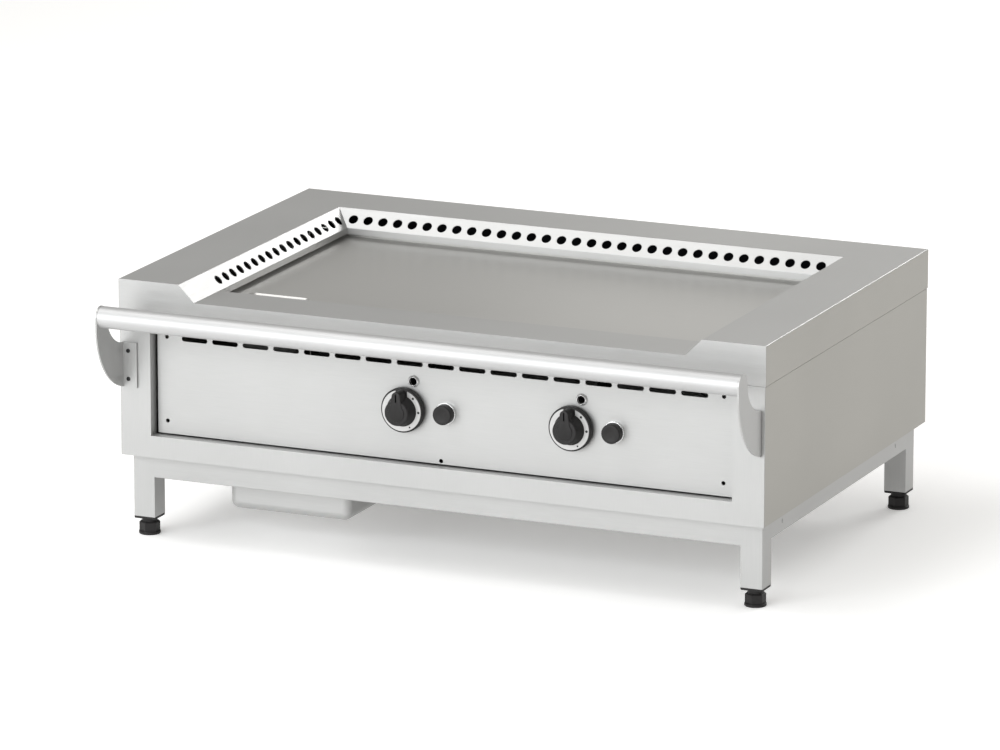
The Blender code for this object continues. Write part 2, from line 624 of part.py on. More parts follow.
def build_control_panel():
    x1 = OPENING_X - PANEL_MARGIN
    z0, z1 = OPENING_LOW + PANEL_MARGIN, OPENING_HIGH - PANEL_MARGIN
    panel = add("control_panel", block(-x1, x1, PANEL_FACE, PANEL_BACK, z0, z1), "sheet_steel")
    z = SEAM - SLOT_DOWN
    half, r = SLOT_LENGTH / 2, SLOT_HEIGHT / 2
    cutters = []
    for i in range(SLOT_COUNT):
        x = (i - (SLOT_COUNT - 1) / 2) * SLOT_PITCH
        outline = arc((x + half - r, z), r, -90, 90, 4) + arc((x - half + r, z), r, 90, 270, 4)
        cutters.append(outline)
    high, low, middle = SEAM - PANEL_HOLE_HIGH, CABINET_BASE + PANEL_HOLE_LOW, CABINET_BASE + PANEL_HOLE_MID
    spots = [(s * PANEL_HOLE_X, h) for s in (-1, 1) for h in (high, low)] + [(0.0, middle)]
    cutters += [circle(spot, PANEL_HOLE_D / 2, 8) for spot in spots]
    for x in KNOB_XS.values():
        cutters.append(circle((x, CONTROL_Z), SPINDLE_D, 12))
        cutters.append(circle((x + BUTTON_OFFSET, CONTROL_Z), BARREL_D / 2 + GAP, 24))
        cutters.append(circle((x + SIGHT_OFFSET_X, CONTROL_Z + SIGHT_OFFSET_Z), SIGHT_BORE_D / 2, 12))
    cut(panel, joined([prism(o, "Y", PANEL_FACE - 0.01, PANEL_BACK + 0.01) for o in cutters]))


# ------------------------------------------------------------------ controls
def grip_outline():
    """Front view of the grip: a round body with a straight pointer that reaches up past it."""
    half, tip, radius = GRIP_WIDTH / 2, GRIP_TIP_WIDTH / 2, GRIP_ROUND_D / 2
    meet = math.degrees(math.acos(half / radius))
    body = arc((0, 0), radius, 180 - meet, 360 + meet, 14)
    return body + arc((0, GRIP_LENGTH - tip), tip, 0, 180, 6)


def build_knob(name, x):
    """Skirted knob with a pointer grip, and the dial ring let in around its body."""
    front = KNOB_SKIRT + KNOB_RISE
    skirt = KNOB_D / 2
    profile = [(0, 0), (skirt, 0), (skirt, KNOB_SKIRT - 0.001), (skirt - 0.001, KNOB_SKIRT),
               (KNOB_BODY_D / 2, KNOB_SKIRT), (KNOB_FRONT_D / 2, front), (0, front)]
    knob = add("control_knob_" + name, turned(profile, "-Y", 32), "black_plastic", (x, KNOB_BACK, CONTROL_Z),
               smooth=True)
    join(knob, prism(grip_outline(), "Y", -front - 0.0015, -KNOB_SKIRT + 0.001))
    cut(knob, prism(circle((0, 0), SPINDLE_D / 2 + SPINDLE_FIT, 12), "Y", -KNOB_SOCKET, 0.01))
    near = KNOB_SKIRT + GAP
    bore, edge, far = DIAL_BORE_D / 2, DIAL_D / 2, near + DIAL_THICK
    ring = add("knob_dial_" + name, turned([(bore, near), (edge, near), (edge, far), (bore, far)], "-Y", 32),
               "chrome", (x, KNOB_BACK, CONTROL_Z), smooth=True)
    half = GRIP_WIDTH / 2 + GAP
    cut(ring, block(-half, half, -far - 0.01, -near + 0.01, 0, KNOB_D))


def build_igniter(name, x):
    """Push button that slides in a chrome collar, whose barrel passes through the panel."""
    stem, barrel = BUTTON_STEM_D / 2, BARREL_D / 2
    bore, edge = BUTTON_D / 2 + BUTTON_FIT, COLLAR_D / 2
    end = BARREL_LENGTH - BARREL_END
    profile = [(0, -BARREL_LENGTH), (barrel, -BARREL_LENGTH), (barrel, 0), (edge, 0), (edge, COLLAR_THICK - 0.001),
               (edge - 0.001, COLLAR_THICK), (bore, COLLAR_THICK), (bore, COLLAR_FLOOR),
               (stem + BUTTON_FIT, COLLAR_FLOOR), (stem + BUTTON_FIT, -end), (0, -end)]
    add("igniter_collar_" + name, turned(profile, "-Y", 32), "chrome", (x, PANEL_FACE - GAP, CONTROL_Z), smooth=True)
    cap = BUTTON_D / 2
    profile = [(0, -BUTTON_STEM), (stem, -BUTTON_STEM), (stem, 0), (cap, 0), (cap, BUTTON_THICK - 0.0015),
               (cap - 0.0015, BUTTON_THICK), (0, BUTTON_THICK)]
    add("igniter_button_" + name, turned(profile, "-Y", 32), "black_plastic", (x, BUTTON_BACK, CONTROL_Z), smooth=True)


def build_valve(name, x):
    half, radius = VALVE_SIZE / 2, SPINDLE_D / 2
    valve = add("gas_valve_" + name, block(x - half, x + half, VALVE_FACE, VALVE_END, CONTROL_Z - half,
                                           CONTROL_Z + half), "brass")
    bore = circle((x, CONTROL_Z), radius + SPINDLE_FIT, 12)
    cut(valve, prism(bore, "Y", VALVE_FACE - 0.01, SPINDLE_END + GAP))
    length = SPINDLE_END - SPINDLE_FRONT
    add("valve_spindle_" + name, turned([(0, 0), (radius, 0), (radius, length), (0, length)], "-Y", 12),
        "zinc_steel", (x, SPINDLE_END, CONTROL_Z), smooth=True)


def build_controls():
    for name, x in KNOB_XS.items():
        build_knob(name, x)
        build_igniter(name, x + BUTTON_OFFSET)
        build_valve(name, x)
        bore, base, front = SIGHT_BORE_D / 2, SIGHT_D / 2, SIGHT_FRONT_D / 2
        ring = turned([(bore, 0), (base, 0), (front, SIGHT_RISE), (bore, SIGHT_RISE)], "-Y", 24)
        add("sight_ring_" + name, ring, "chrome", (x + SIGHT_OFFSET_X, PANEL_FACE - GAP, CONTROL_Z + SIGHT_OFFSET_Z),
            smooth=True)


# ------------------------------------------------------------------ gas line and burners
def build_gas():
    y, z, bend = (VALVE_FACE + VALVE_END) / 2, CONTROL_Z - MANIFOLD_DOWN, MANIFOLD_BEND
    inlet_y = REAR - INLET_FROM_REAR
    path = [(KNOB_XS["left"] - MANIFOLD_START, y, z), (INLET_X - bend, y, z), (INLET_X, y + bend, z),
            (INLET_X, inlet_y - bend, z), (INLET_X, inlet_y, z - bend), (INLET_X, inlet_y, INLET_LOW)]
    manifold = add("gas_manifold", pipe(path, MANIFOLD_D / 2, 12), "zinc_steel", smooth=True)
    for x in KNOB_XS.values():
        join(manifold, prism(circle((x, y), NECK_D / 2, 12), "Z", z, CONTROL_Z - VALVE_SIZE / 2 - GAP))


def build_burners():
    """Each burner runs back from its valve, rises under the plate and returns along its outer leg."""
    z, c = PLATE_BASE - BURNER_BELOW, BURNER_CHAMFER
    rear, front = WELL_REAR - BURNER_REAR, WELL_FRONT + BURNER_FRONT
    inlet = VALVE_END + BURNER_AIR_GAP
    knee = inlet + BURNER_INLET
    for name, side in SIDES:
        x = KNOB_XS[name]
        far = x + side * BURNER_SPREAD
        path = [(x, inlet, CONTROL_Z), (x, knee, CONTROL_Z), (x, knee + z - CONTROL_Z, z), (x, rear - c, z),
                (x + side * c, rear, z), (far - side * c, rear, z), (far, rear - c, z), (far, front, z)]
        add("burner_" + name, pipe(path, BURNER_D / 2, 12), "burner_iron", smooth=True)
    top = z - BURNER_D / 2 - GAP
    for end, y in (("front", WELL_FRONT + BURNER_BAR_FRONT), ("rear", WELL_REAR - BURNER_BAR_REAR)):
        add("burner_bar_" + end, block(-INNER_X, INNER_X, y, y + BURNER_BAR, top - BURNER_BAR, top), "zinc_steel")


# ------------------------------------------------------------------ handrail
def bracket_outline():
    """Side view (y, z): round head about the handrail, convex outer edge, concave inner edge."""
    head = RAIL_D / 2 + BRACKET_CAP
    centre_y = FRONT + BRACKET_ARC_OUT
    reach = BRACKET_ARC_R
    in_by = BRACKET_ARC_OUT + GAP
    centre_z = BRACKET_LOW + math.sqrt(reach ** 2 - in_by ** 2)
    low_angle = math.degrees(math.atan2(BRACKET_LOW - centre_z, -in_by))
    outer = arc((centre_y, centre_z), reach, 180, low_angle + 360, 12)
    notch_y, notch_z = FRONT + NOTCH_IN, BRACKET_HIGH + NOTCH_UP
    start = math.degrees(math.acos((NOTCH_IN + BRACKET_SHEET + GAP) / NOTCH_R))
    finish_at = math.degrees(math.acos((notch_y - RAIL_Y - head) / NOTCH_R))
    notch = arc((notch_y, notch_z), NOTCH_R, 180 + start, 180 + finish_at, 8)
    crown = arc((RAIL_Y, RAIL_Z), head, 0, 180, 10)
    return outer + [(FRONT - GAP, BRACKET_HIGH)] + notch + crown


def build_handrail():
    length = 2 * (BRACKET_INNER_X - GAP)
    r = RAIL_D / 2
    tube = turned([(r - RAIL_WALL, 0), (r, 0), (r, length), (r - RAIL_WALL, length)], "X", 24)
    add("handrail_tube", tube, "rail_steel", (-length / 2, RAIL_Y, RAIL_Z), smooth=True)
    for name, side in SIDES:
        low, high = sorted((side * BRACKET_X, side * BRACKET_INNER_X))
        bracket = add("handrail_bracket_" + name, prism(bracket_outline(), "X", low, high), "sheet_steel")
        x0, x1 = sorted((side * (BRACKET_X - BRACKET_SHEET / 2), side * (BRACKET_X - BRACKET_FLANGE)))
        join(bracket, block(x0, x1, FRONT - GAP - BRACKET_SHEET, FRONT - GAP, BRACKET_LOW, BRACKET_HIGH))


# ------------------------------------------------------------------ underframe and feet
def square_tube(name, axis, a0, a1, b0, b1, start, end):
    """Square tube with open ends: the two spans across it, then its start and end along the axis."""
    w = TUBE_WALL
    made = add(name, prism([(a0, b0), (a1, b0), (a1, b1), (a0, b1)], axis, start, end), "sheet_steel")
    inside = [(a0 + w, b0 + w), (a1 - w, b0 + w), (a1 - w, b1 - w), (a0 + w, b1 - w)]
    return cut(made, prism(inside, axis, start - 0.01, end + 0.01))


def build_underframe():
    for end, y, inward in ENDS:
        y0, y1 = sorted((y, y + inward * TUBE))
        inner = FRAME_X - TUBE - GAP
        square_tube("frame_rail_" + end, "X", y0, y1, FRAME_TOP - FRONT_RAIL_HEIGHT, FRAME_TOP, -inner, inner)
        for name, side in SIDES:
            x0, x1 = sorted((side * FRAME_X, side * (FRAME_X - TUBE)))
            corner = "%s_%s" % (end, name)
            square_tube("leg_" + corner, "Z", x0, x1, y0, y1, FOOT_HEIGHT, FRAME_TOP)
            build_foot(corner, (x0 + x1) / 2, (y0 + y1) / 2)
    for name, side in SIDES:
        x0, x1 = sorted((side * FRAME_X, side * (FRAME_X - TUBE)))
        square_tube("frame_rail_" + name, "Y", x0, x1, FRAME_TOP - SIDE_RAIL_HEIGHT, FRAME_TOP,
                    FRAME_FRONT + TUBE + GAP, FRAME_REAR - TUBE - GAP)


def build_foot(corner, x, y):
    half = TUBE / 2
    plug = half - TUBE_WALL - GAP
    top = FOOT_HEIGHT - GAP
    insert = add("leg_insert_" + corner, block(-half, half, -half, half, top - INSERT_PLATE, top), "black_plastic",
                 (x, y, 0))
    join(insert, block(-plug, plug, -plug, plug, top - INSERT_PLATE / 2, top + INSERT_PLUG))
    cut(insert, prism(circle((0, 0), FOOT_STEM_D / 2 + STEM_FIT, 12), "Z", top - 0.02, top + INSERT_PLUG + 0.01))
    neck_top = top - INSERT_PLATE - GAP
    hex_top = FOOT_BASE + FOOT_HEX
    base, stem = FOOT_BASE_D / 2, FOOT_STEM_D / 2
    profile = [(0, 0), (base, 0), (base, FOOT_BASE - 0.001), (FOOT_NECK_D / 2, FOOT_BASE), (FOOT_NECK_D / 2, neck_top),
               (stem, neck_top), (stem, FOOT_STEM_TOP), (0, FOOT_STEM_TOP)]
    foot = add("levelling_foot_" + corner, turned(profile, "Z", 20), "black_plastic", (x, y, 0), smooth=True)
    join(foot, prism(circle((0, 0), FOOT_HEX_D / 2, 6, 30), "Z", FOOT_BASE - 0.002, hex_top))


def main():
    clear_scene()
    build_top()
    build_plate()
    build_chute()
    build_tray()
    build_cabinet()
    build_control_panel()
    build_controls()
    build_gas()
    build_burners()
    build_handrail()
    build_underframe()


main()
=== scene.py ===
import math

import bmesh
import bpy
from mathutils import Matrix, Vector


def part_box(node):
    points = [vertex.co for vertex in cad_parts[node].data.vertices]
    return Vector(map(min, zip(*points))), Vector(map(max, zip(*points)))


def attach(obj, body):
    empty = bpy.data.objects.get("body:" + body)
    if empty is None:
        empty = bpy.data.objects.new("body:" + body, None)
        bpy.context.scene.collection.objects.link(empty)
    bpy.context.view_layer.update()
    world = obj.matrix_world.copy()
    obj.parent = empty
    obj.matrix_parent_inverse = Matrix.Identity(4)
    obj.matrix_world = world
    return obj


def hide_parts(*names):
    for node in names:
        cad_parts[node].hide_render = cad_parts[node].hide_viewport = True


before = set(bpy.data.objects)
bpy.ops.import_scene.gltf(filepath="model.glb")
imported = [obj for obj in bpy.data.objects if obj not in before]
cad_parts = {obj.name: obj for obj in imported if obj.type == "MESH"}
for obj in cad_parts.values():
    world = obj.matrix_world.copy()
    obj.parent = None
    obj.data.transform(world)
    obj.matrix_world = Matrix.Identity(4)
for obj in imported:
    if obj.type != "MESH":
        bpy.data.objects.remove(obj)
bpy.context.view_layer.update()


def span(node):
    """The six faces of a CAD node's box: x0, x1, y0, y1, z0, z1."""
    low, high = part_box(node)
    return low[0], high[0], low[1], high[1], low[2], high[2]


# ------------------------------------------------------------------ sizes from the frame (metres)
FRAME_FRONT_BOX = span("top_frame_front")
LEFT_FRAME_BOX = span("top_frame_left")
REAR_FRAME_BOX = span("top_frame_rear")
POST_BOX = span("front_post_right")
RAIL_BOX = span("front_lower_rail")
PANEL_BOX = span("control_panel")
PLATE_BOX = span("griddle_plate")
TUBE_BOX = span("handrail_tube")
BRACKET_BOX = span("handrail_bracket_right")
TRAY_BOX = span("grease_tray")

GAP = 0.0003
SHEET = 0.0015
# how far a cutter passes beyond what it cuts
OVER = 0.01
FAR_OVER = 0.05

# top frame: flat rim, 45 degree slope, edge turned down into the well
HALF = FRAME_FRONT_BOX[1]
FRONT = FRAME_FRONT_BOX[2]
REAR = REAR_FRAME_BOX[3]
HEIGHT = FRAME_FRONT_BOX[5]
SEAM = FRAME_FRONT_BOX[4]
# open line between the top frame and the cabinet
SEAM_LIFT = 0.0004
WELL_FRONT = FRAME_FRONT_BOX[3]
WELL_X = -LEFT_FRAME_BOX[1]
WELL_REAR = REAR_FRAME_BOX[2]
SLOPE = 0.030
RIM_WIDTH = HALF - WELL_X - SLOPE
SLOPE_FOOT = HEIGHT - SLOPE
FLANGE_DROP = 0.011
FOLD_R = 0.0007
RIM_BEND_R = 0.0020
SLOPE_BEND_R = 0.0030

# round vent holes of the slopes: diameter, pitch, height of the centre above the slope's foot
HOLE_D = 0.018
HOLE_PITCH = 0.029
HOLE_UP = 0.0131
SIDE_HOLES = 18
REAR_HOLES = 32
SIDE_HOLE_END = 0.0087
HOLE_SIDES = 40
HOLE_REACH = 0.012

# cooking plate, its upstand and the grease hole: x0, x1, y0, y1
UPSTAND_THICK = 0.003
PLATE_WELD = 0.002
UPSTAND_HIGH = 0.012
PLATE_TOP = PLATE_BOX[5] - UPSTAND_HIGH
GREASE_HOLE = (-WELL_X + 0.0275, -WELL_X + 0.1375,
               WELL_FRONT + 0.0225, WELL_FRONT + 0.0725)
GREASE_CORNER_R = 0.010
HOLE_SINK = 0.004

# cabinet, its front opening and the recessed control panel
CABINET_BASE = POST_BOX[4]
CABINET_TOP = POST_BOX[5]
CABINET_X = POST_BOX[1]
CABINET_FRONT = POST_BOX[2]
FLANGE_BACK = POST_BOX[3]
OPENING_X = RAIL_BOX[1] + GAP
OPENING_LOW = CABINET_BASE + 0.0391
OPENING_HIGH = span("front_upper_rail")[4]
PANEL_FLANGE = 0.036
PANEL_FACE = PANEL_BOX[2]
PANEL_BACK = PANEL_BOX[3]
FLANGE_FACE = PANEL_BACK + GAP
PANEL_MARGIN = PANEL_BOX[4] - OPENING_LOW
# the panel's ends stop short of the opening by this much
PANEL_END = 0.0025
RELIEF = 0.0015

# slots and small holes of the control panel
SLOT_COUNT = 17
SLOT_PITCH = 0.0581
SLOT_LENGTH = 0.0488
SLOT_HEIGHT = 0.0085
SLOT_Z = SEAM - 0.0303
PANEL_HOLE_D = 0.0073
PANEL_HOLE_X = 0.5178
PANEL_HOLE_ZS = (SEAM - 0.0292, CABINET_BASE + 0.0643)
PANEL_HOLE_MID = CABINET_BASE + 0.0471
SPINDLE_PASS_R = 0.0080
BUTTON_PASS_R = 0.0093
SIGHT_BORE_R = 0.0071

# knobs: skirt and body heights and radii, pointer grip, dial marks in degrees from the top
SKIRT = 0.0115
KNOB_RISE = 0.0230
SKIRT_R = 0.0390
KNOB_BODY_R = 0.0268
KNOB_FRONT_R = 0.0222
GRIP_WIDTH = 0.0212
GRIP_TIP_WIDTH = 0.0160
GRIP_LENGTH = 0.0374
GRIP_R = 0.0150
DIAL_BORE = 0.0276
DIAL_RIM = 0.0360
DIAL_THICK = 0.0008
DIAL_MARKS = (43, 91, 151)
LARGE_MARK_R = 0.0022
SMALL_MARK_R = 0.0016
SPINDLE_HOLE_R = 0.0044

# handrail and its brackets
RAIL_Y = (TUBE_BOX[2] + TUBE_BOX[3]) / 2
RAIL_Z = (TUBE_BOX[4] + TUBE_BOX[5]) / 2
RAIL_R = (TUBE_BOX[3] - TUBE_BOX[2]) / 2
RAIL_WALL = 0.002
BRACKET_X = BRACKET_BOX[1]
BRACKET_SHEET = 0.003
BRACKET_CAP = 0.0005
BRACKET_FLANGE = BRACKET_BOX[1] - BRACKET_BOX[0]
BRACKET_LOW = BRACKET_BOX[4]
BRACKET_HIGH = 0.3510
BRACKET_ARC_R = 0.1300
BRACKET_ARC_OUT = 0.0270
NOTCH_R = 0.0700
NOTCH_IN = 0.0030
NOTCH_UP = 0.0697
BRACKET_SCREWS = (0.0250, -0.0250)
SCREW_FROM_EDGE = 0.0125
BRACKET_SCREW_R = 0.0037
BRACKET_SCREW_RISE = 0.0019

# underframe and levelling feet
TUBE_CORNER_R = 0.0015
TUBE_WALL = 0.0015
SIDE_SCREW_INSET = 0.0507
SIDE_SCREW_DOWN = 0.0170
HEX_CORNER_R = 0.0182
HEX_TOP_R = 0.0150

# grease tray: lip at each side, sheet, corner radius
TRAY_LIP = 0.0125
TRAY_SHEET = 0.0012
TRAY_CORNER_R = 0.015

FOOTPRINT_Y = (FRONT + REAR) / 2
SIDES = (("left", -1), ("right", 1))
ROUND = 64

# edges: degrees above which a bevel softens one, and above which shading stays sharp
SOFTEN_ABOVE = 35
SHARP_BEVELLED = 48
SHARP_PLAIN = 32
SMALL_BEVEL = 0.0003
BEVEL = 0.0007
PANEL_BEVEL = 0.0006

# studio
CAMERA_LENS = 259.387
CAMERA_SENSOR = 36
CAMERA_SPOT = (4.85957, -11.1706 + (FRONT + 0.3847), 3.35322)
CAMERA_DOWN = 0.2485
CAMERA_TURN = 0.41415
CAMERA_SEES = 200
FLOOR_SIDE = 30
FLOOR_BACK = 45
FLOOR_THICK = 0.02
WORLD_COLOUR = (1.0, 0.985, 0.95, 1)
WORLD_STRENGTH = 0.44
AIM = (0, 0, 0.3)


# ------------------------------------------------------------------ materials
CLOUD_SCALE = 3.0
METAL_GRAIN_HIGH = 0.00006
PLASTIC_GRAIN = 2600
PLASTIC_GRAIN_HIGH = 0.00005
# how metallic the satin sheet and plate are
SATIN = 0.56


class Nodes:
    """Small wrapper that adds and links shader nodes."""

    def __init__(self, name):
        self.material = bpy.data.materials.new(name)
        self.material.use_nodes = True
        self.tree = self.material.node_tree
        self.shader = self.tree.nodes["Principled BSDF"]
        self.coords = self.add("ShaderNodeTexCoord").outputs["Object"]

    def add(self, kind, **settings):
        node = self.tree.nodes.new(kind)
        for key, value in settings.items():
            if hasattr(node, key):
                setattr(node, key, value)
            else:
                node.inputs[key].default_value = value
        return node

    def link(self, source, target):
        self.tree.links.new(source, target)

    def noise(self, scale, detail=3.0, stretch=(1, 1, 1), roughness=0.5):
        mapping = self.add("ShaderNodeMapping")
        mapping.inputs["Scale"].default_value = stretch
        self.link(self.coords, mapping.inputs["Vector"])
        noise = self.add("ShaderNodeTexNoise", Scale=scale, Detail=detail, Roughness=roughness)
        self.link(mapping.outputs["Vector"], noise.inputs["Vector"])
        return noise.outputs["Fac"]

    def ranged(self, value, low, high, start=0.3, stop=0.7):
        node = self.add("ShaderNodeMapRange")
        ends = {"From Min": start, "From Max": stop, "To Min": low, "To Max": high}
        for key, number in ends.items():
            node.inputs[key].default_value = number
        self.link(value, node.inputs["Value"])
        return node.outputs["Result"]

    def colour(self, value, dark, light):
        mix = self.add("ShaderNodeMix", data_type="RGBA")
        mix.inputs[6].default_value = (*dark, 1)
        mix.inputs[7].default_value = (*light, 1)
        self.link(value, mix.inputs[0])
        self.link(mix.outputs[2], self.shader.inputs["Base Color"])

    def bump(self, value, strength, distance):
        bump = self.add("ShaderNodeBump")
        bump.inputs["Strength"].default_value = strength
        bump.inputs["Distance"].default_value = distance
        self.link(value, bump.inputs["Height"])
        self.link(bump.outputs["Normal"], self.shader.inputs["Normal"])


def tone(colour, factor):
    """A colour made darker or lighter."""
    return tuple(c * factor for c in colour)


def metal(name, colour, rough, spread=0.05, stretch=(1, 1, 1), grain=900, variation=0.05,
          metallic=1.0, bump=0.06):
    """Metal with a fine brushed or ground grain and a broad, faint change of tone."""
    n = Nodes(name)
    fine = n.noise(grain, 4.0, stretch, 0.6)
    broad = n.noise(CLOUD_SCALE, 2.0)
    both = n.add("ShaderNodeMath", operation="MULTIPLY_ADD")
    n.link(fine, both.inputs[0])
    both.inputs[1].default_value = 0.5
    halved = n.add("ShaderNodeMath", operation="MULTIPLY")
    n.link(broad, halved.inputs[0])
    halved.inputs[1].default_value = 0.5
    n.link(halved.outputs[0], both.inputs[2])
    n.colour(n.ranged(both.outputs[0], 0, 1, 0.35, 0.65),
             tone(colour, 1 - variation), tone(colour, 1 + variation))
    n.link(n.ranged(fine, rough - spread, rough + spread), n.shader.inputs["Roughness"])
    n.shader.inputs["Metallic"].default_value = metallic
    n.bump(fine, bump, METAL_GRAIN_HIGH)
    return n.material


def plastic(name, colour, rough):
    """Moulded plastic with a fine matt texture."""
    n = Nodes(name)
    fine = n.noise(PLASTIC_GRAIN, 2.0)
    broad = n.noise(60, 3.0)
    n.colour(n.ranged(broad, 0, 1), tone(colour, 0.88), tone(colour, 1.12))
    n.link(n.ranged(fine, rough - 0.05, rough + 0.05), n.shader.inputs["Roughness"])
    n.shader.inputs["Specular IOR Level"].default_value = 0.25
    n.bump(fine, 0.12, PLASTIC_GRAIN_HIGH)
    return n.material


def floor_material():
    """Pale floor that the light leaves nearly white."""
    n = Nodes("pale_floor")
    broad = n.noise(0.6, 2.0)
    n.colour(n.ranged(broad, 0, 1), (0.93, 0.93, 0.93), (0.95, 0.95, 0.95))
    n.link(n.ranged(broad, 0.75, 0.85), n.shader.inputs["Roughness"])
    n.shader.inputs["Specular IOR Level"].default_value = 0.1
    n.shader.inputs["Emission Color"].default_value = (1.0, 0.99, 0.975, 1)
    n.shader.inputs["Emission Strength"].default_value = 0.26
    return n.material


STEEL = (0.43, 0.43, 0.425)
M = {
    "sheet": metal("sheet_steel_across", STEEL, 0.40, stretch=(0.02, 1, 1), metallic=SATIN),
    "sheet_along": metal("sheet_steel_along", STEEL, 0.40, stretch=(1, 0.02, 1), metallic=SATIN),
    "sheet_up": metal("sheet_steel_upright", STEEL, 0.42, stretch=(1, 1, 0.02), metallic=SATIN),
    # darker, warmer copy of the sheet steel for the outward side faces: painted shade of the sides turned
    # away from the key light
    "sheet_side_painted_shade": metal("sheet_steel_painted_shade_side", (0.372, 0.362, 0.335), 0.42, stretch=(1, 0.02, 1),
                        metallic=SATIN),
    "plate": metal("griddle_plate_steel", (0.43, 0.425, 0.41), 0.32, spread=0.03,
                   stretch=(0.03, 1, 1), grain=700, variation=0.02, metallic=SATIN),
    "rail": metal("handrail_steel", (0.50, 0.50, 0.50), 0.52, spread=0.03, stretch=(0.02, 1, 1),
                  metallic=0.70),
    "black": plastic("black_plastic", (0.016, 0.015, 0.015), 0.50),
    "ink": plastic("black_mark", (0.012, 0.012, 0.012), 0.55),
    "chrome": metal("bright_metal", (0.66, 0.66, 0.66), 0.26, spread=0.03, variation=0.02),
    "dial": metal("dial_face", (0.48, 0.475, 0.47), 0.42, spread=0.04, metallic=0.60, grain=1600,
                  variation=0.03),
    "zinc": metal("zinc_steel", (0.30, 0.30, 0.29), 0.50, spread=0.10, grain=300, variation=0.15),
    # near-black steel for the faces inside the surrounds: painted shade, seen through the vent holes
    "painted_shade_dark": metal("painted_shade_inside_steel", (0.030, 0.030, 0.034), 0.50, variation=0.20),
    "brass": metal("machined_brass", (0.62, 0.48, 0.20), 0.34, grain=500, variation=0.10),
    "iron": metal("burner_iron", (0.07, 0.07, 0.07), 0.62, spread=0.10, grain=240, variation=0.25,
                  bump=0.4),
    "screw": metal("dark_screw", (0.035, 0.035, 0.035), 0.45, grain=1200, variation=0.10),
}


# ------------------------------------------------------------------ modelling helpers
def arc(centre, radius, start, end, steps):
    """Points of an arc, its angles in degrees."""
    turns = [math.radians(start + (end - start) * i / steps) for i in range(steps + 1)]
    return [(centre[0] + radius * math.cos(t), centre[1] + radius * math.sin(t)) for t in turns]


def circle(centre, radius, sides, phase=0.0):
    return arc(centre, radius, phase, phase + 360 * (sides - 1) / sides, sides - 1)


def rounded_rect(x0, x1, y0, y1, radius, steps=6):
    corners = ((x1 - radius, y1 - radius, 0), (x0 + radius, y1 - radius, 90),
               (x0 + radius, y0 + radius, 180), (x1 - radius, y0 + radius, 270))
    return [p for x, y, a in corners for p in arc((x, y), radius, a, a + 90, steps)]


def softened(outline, radii, steps=4):
    """An outline with some corners rounded: radii is {index of the point: radius}."""
    made = []
    count = len(outline)
    for i, point in enumerate(outline):
        radius = radii.get(i, 0)
        if not radius:
            made.append(point)
            continue
        here = Vector(point)
        before = (Vector(outline[i - 1]) - here).normalized()
        after = (Vector(outline[(i + 1) % count]) - here).normalized()
        half = before.angle(after) / 2
        reach = radius / math.tan(half)
        centre = here + (before + after).normalized() * radius / math.sin(half)
        start = (here + before * reach - centre)
        end = (here + after * reach - centre)
        first = math.atan2(start.y, start.x)
        turn = math.atan2(start.x * end.y - start.y * end.x, start.dot(end))
        for k in range(steps + 1):
            angle = first + turn * k / steps
            made.append((centre.x + radius * math.cos(angle), centre.y + radius * math.sin(angle)))
    return made


def block(x0, x1, y0, y1, z0, z1):
    """A box between six faces."""
    bm = bmesh.new()
    bmesh.ops.create_cube(bm, size=1)
    bmesh.ops.scale(bm, vec=(x1 - x0, y1 - y0, z1 - z0), verts=bm.verts)
    bmesh.ops.translate(bm, vec=((x0 + x1) / 2, (y0 + y1) / 2, (z0 + z1) / 2), verts=bm.verts)
    return bm


def prism(outline, axis, start, end):
    """Extrude a 2-D outline along an axis. The outline's axes are the other two, in X, Y, Z order."""
    bm = bmesh.new()
    order = {"X": lambda a, b: (start, a, b), "Y": lambda a, b: (a, start, b),
             "Z": lambda a, b: (a, b, start)}
    travel = {"X": (end - start, 0, 0), "Y": (0, end - start, 0), "Z": (0, 0, end - start)}
    base = bm.faces.new([bm.verts.new(order[axis](a, b)) for a, b in outline])
    grown = bmesh.ops.extrude_face_region(bm, geom=[base])
    moved = [v for v in grown["geom"] if isinstance(v, bmesh.types.BMVert)]
    bmesh.ops.translate(bm, vec=travel[axis], verts=moved)
    return bm


def lofted(rings):
    """A closed skin through rings of the same number of points, capped at both ends."""
    bm = bmesh.new()
    made = [[bm.verts.new(p) for p in ring] for ring in rings]
    for lower, upper in zip(made, made[1:]):
        for n in range(len(lower)):
            m = (n + 1) % len(lower)
            bm.faces.new((lower[n], lower[m], upper[m], upper[n]))
    bm.faces.new(made[0])
    bm.faces.new(made[-1])
    return bm


def turned(profile, axis, sides=ROUND):
    """Revolve (radius, height) points about an axis, a closed loop when it never meets the axis."""
    bm = bmesh.new()
    rings = []
    for i in range(sides):
        turn = 2 * math.pi * i / sides
        rings.append([(r * math.cos(turn), r * math.sin(turn), h) for r, h in profile])
    on_axis = [r < 1e-9 for r, _ in profile]
    verts = []
    for i, ring in enumerate(rings):
        verts.append([verts[0][j] if i and on_axis[j] else bm.verts.new(p)
                      for j, p in enumerate(ring)])
    for i in range(sides):
        here, there = verts[i], verts[(i + 1) % sides]
        for j in range(len(profile)):
            k = (j + 1) % len(profile)
            loop = [here[j], there[j], there[k], here[k]]
            unique = [v for n, v in enumerate(loop) if v not in loop[:n]]
            if len(unique) > 2:
                bm.faces.new(unique)
    for v in bm.verts:
        x, y, z = v.co
        v.co = {"Z": (x, y, z), "-Y": (x, -z, y), "X": (z, y, -x)}[axis]
    return bm


def joined(shapes):
    """Several shapes as one, for one cut."""
    whole = bmesh.new()
    for bm in shapes:
        mesh = bpy.data.meshes.new("part")
        bm.to_mesh(mesh)
        bm.free()
        whole.from_mesh(mesh)
        bpy.data.meshes.remove(mesh)
    return whole


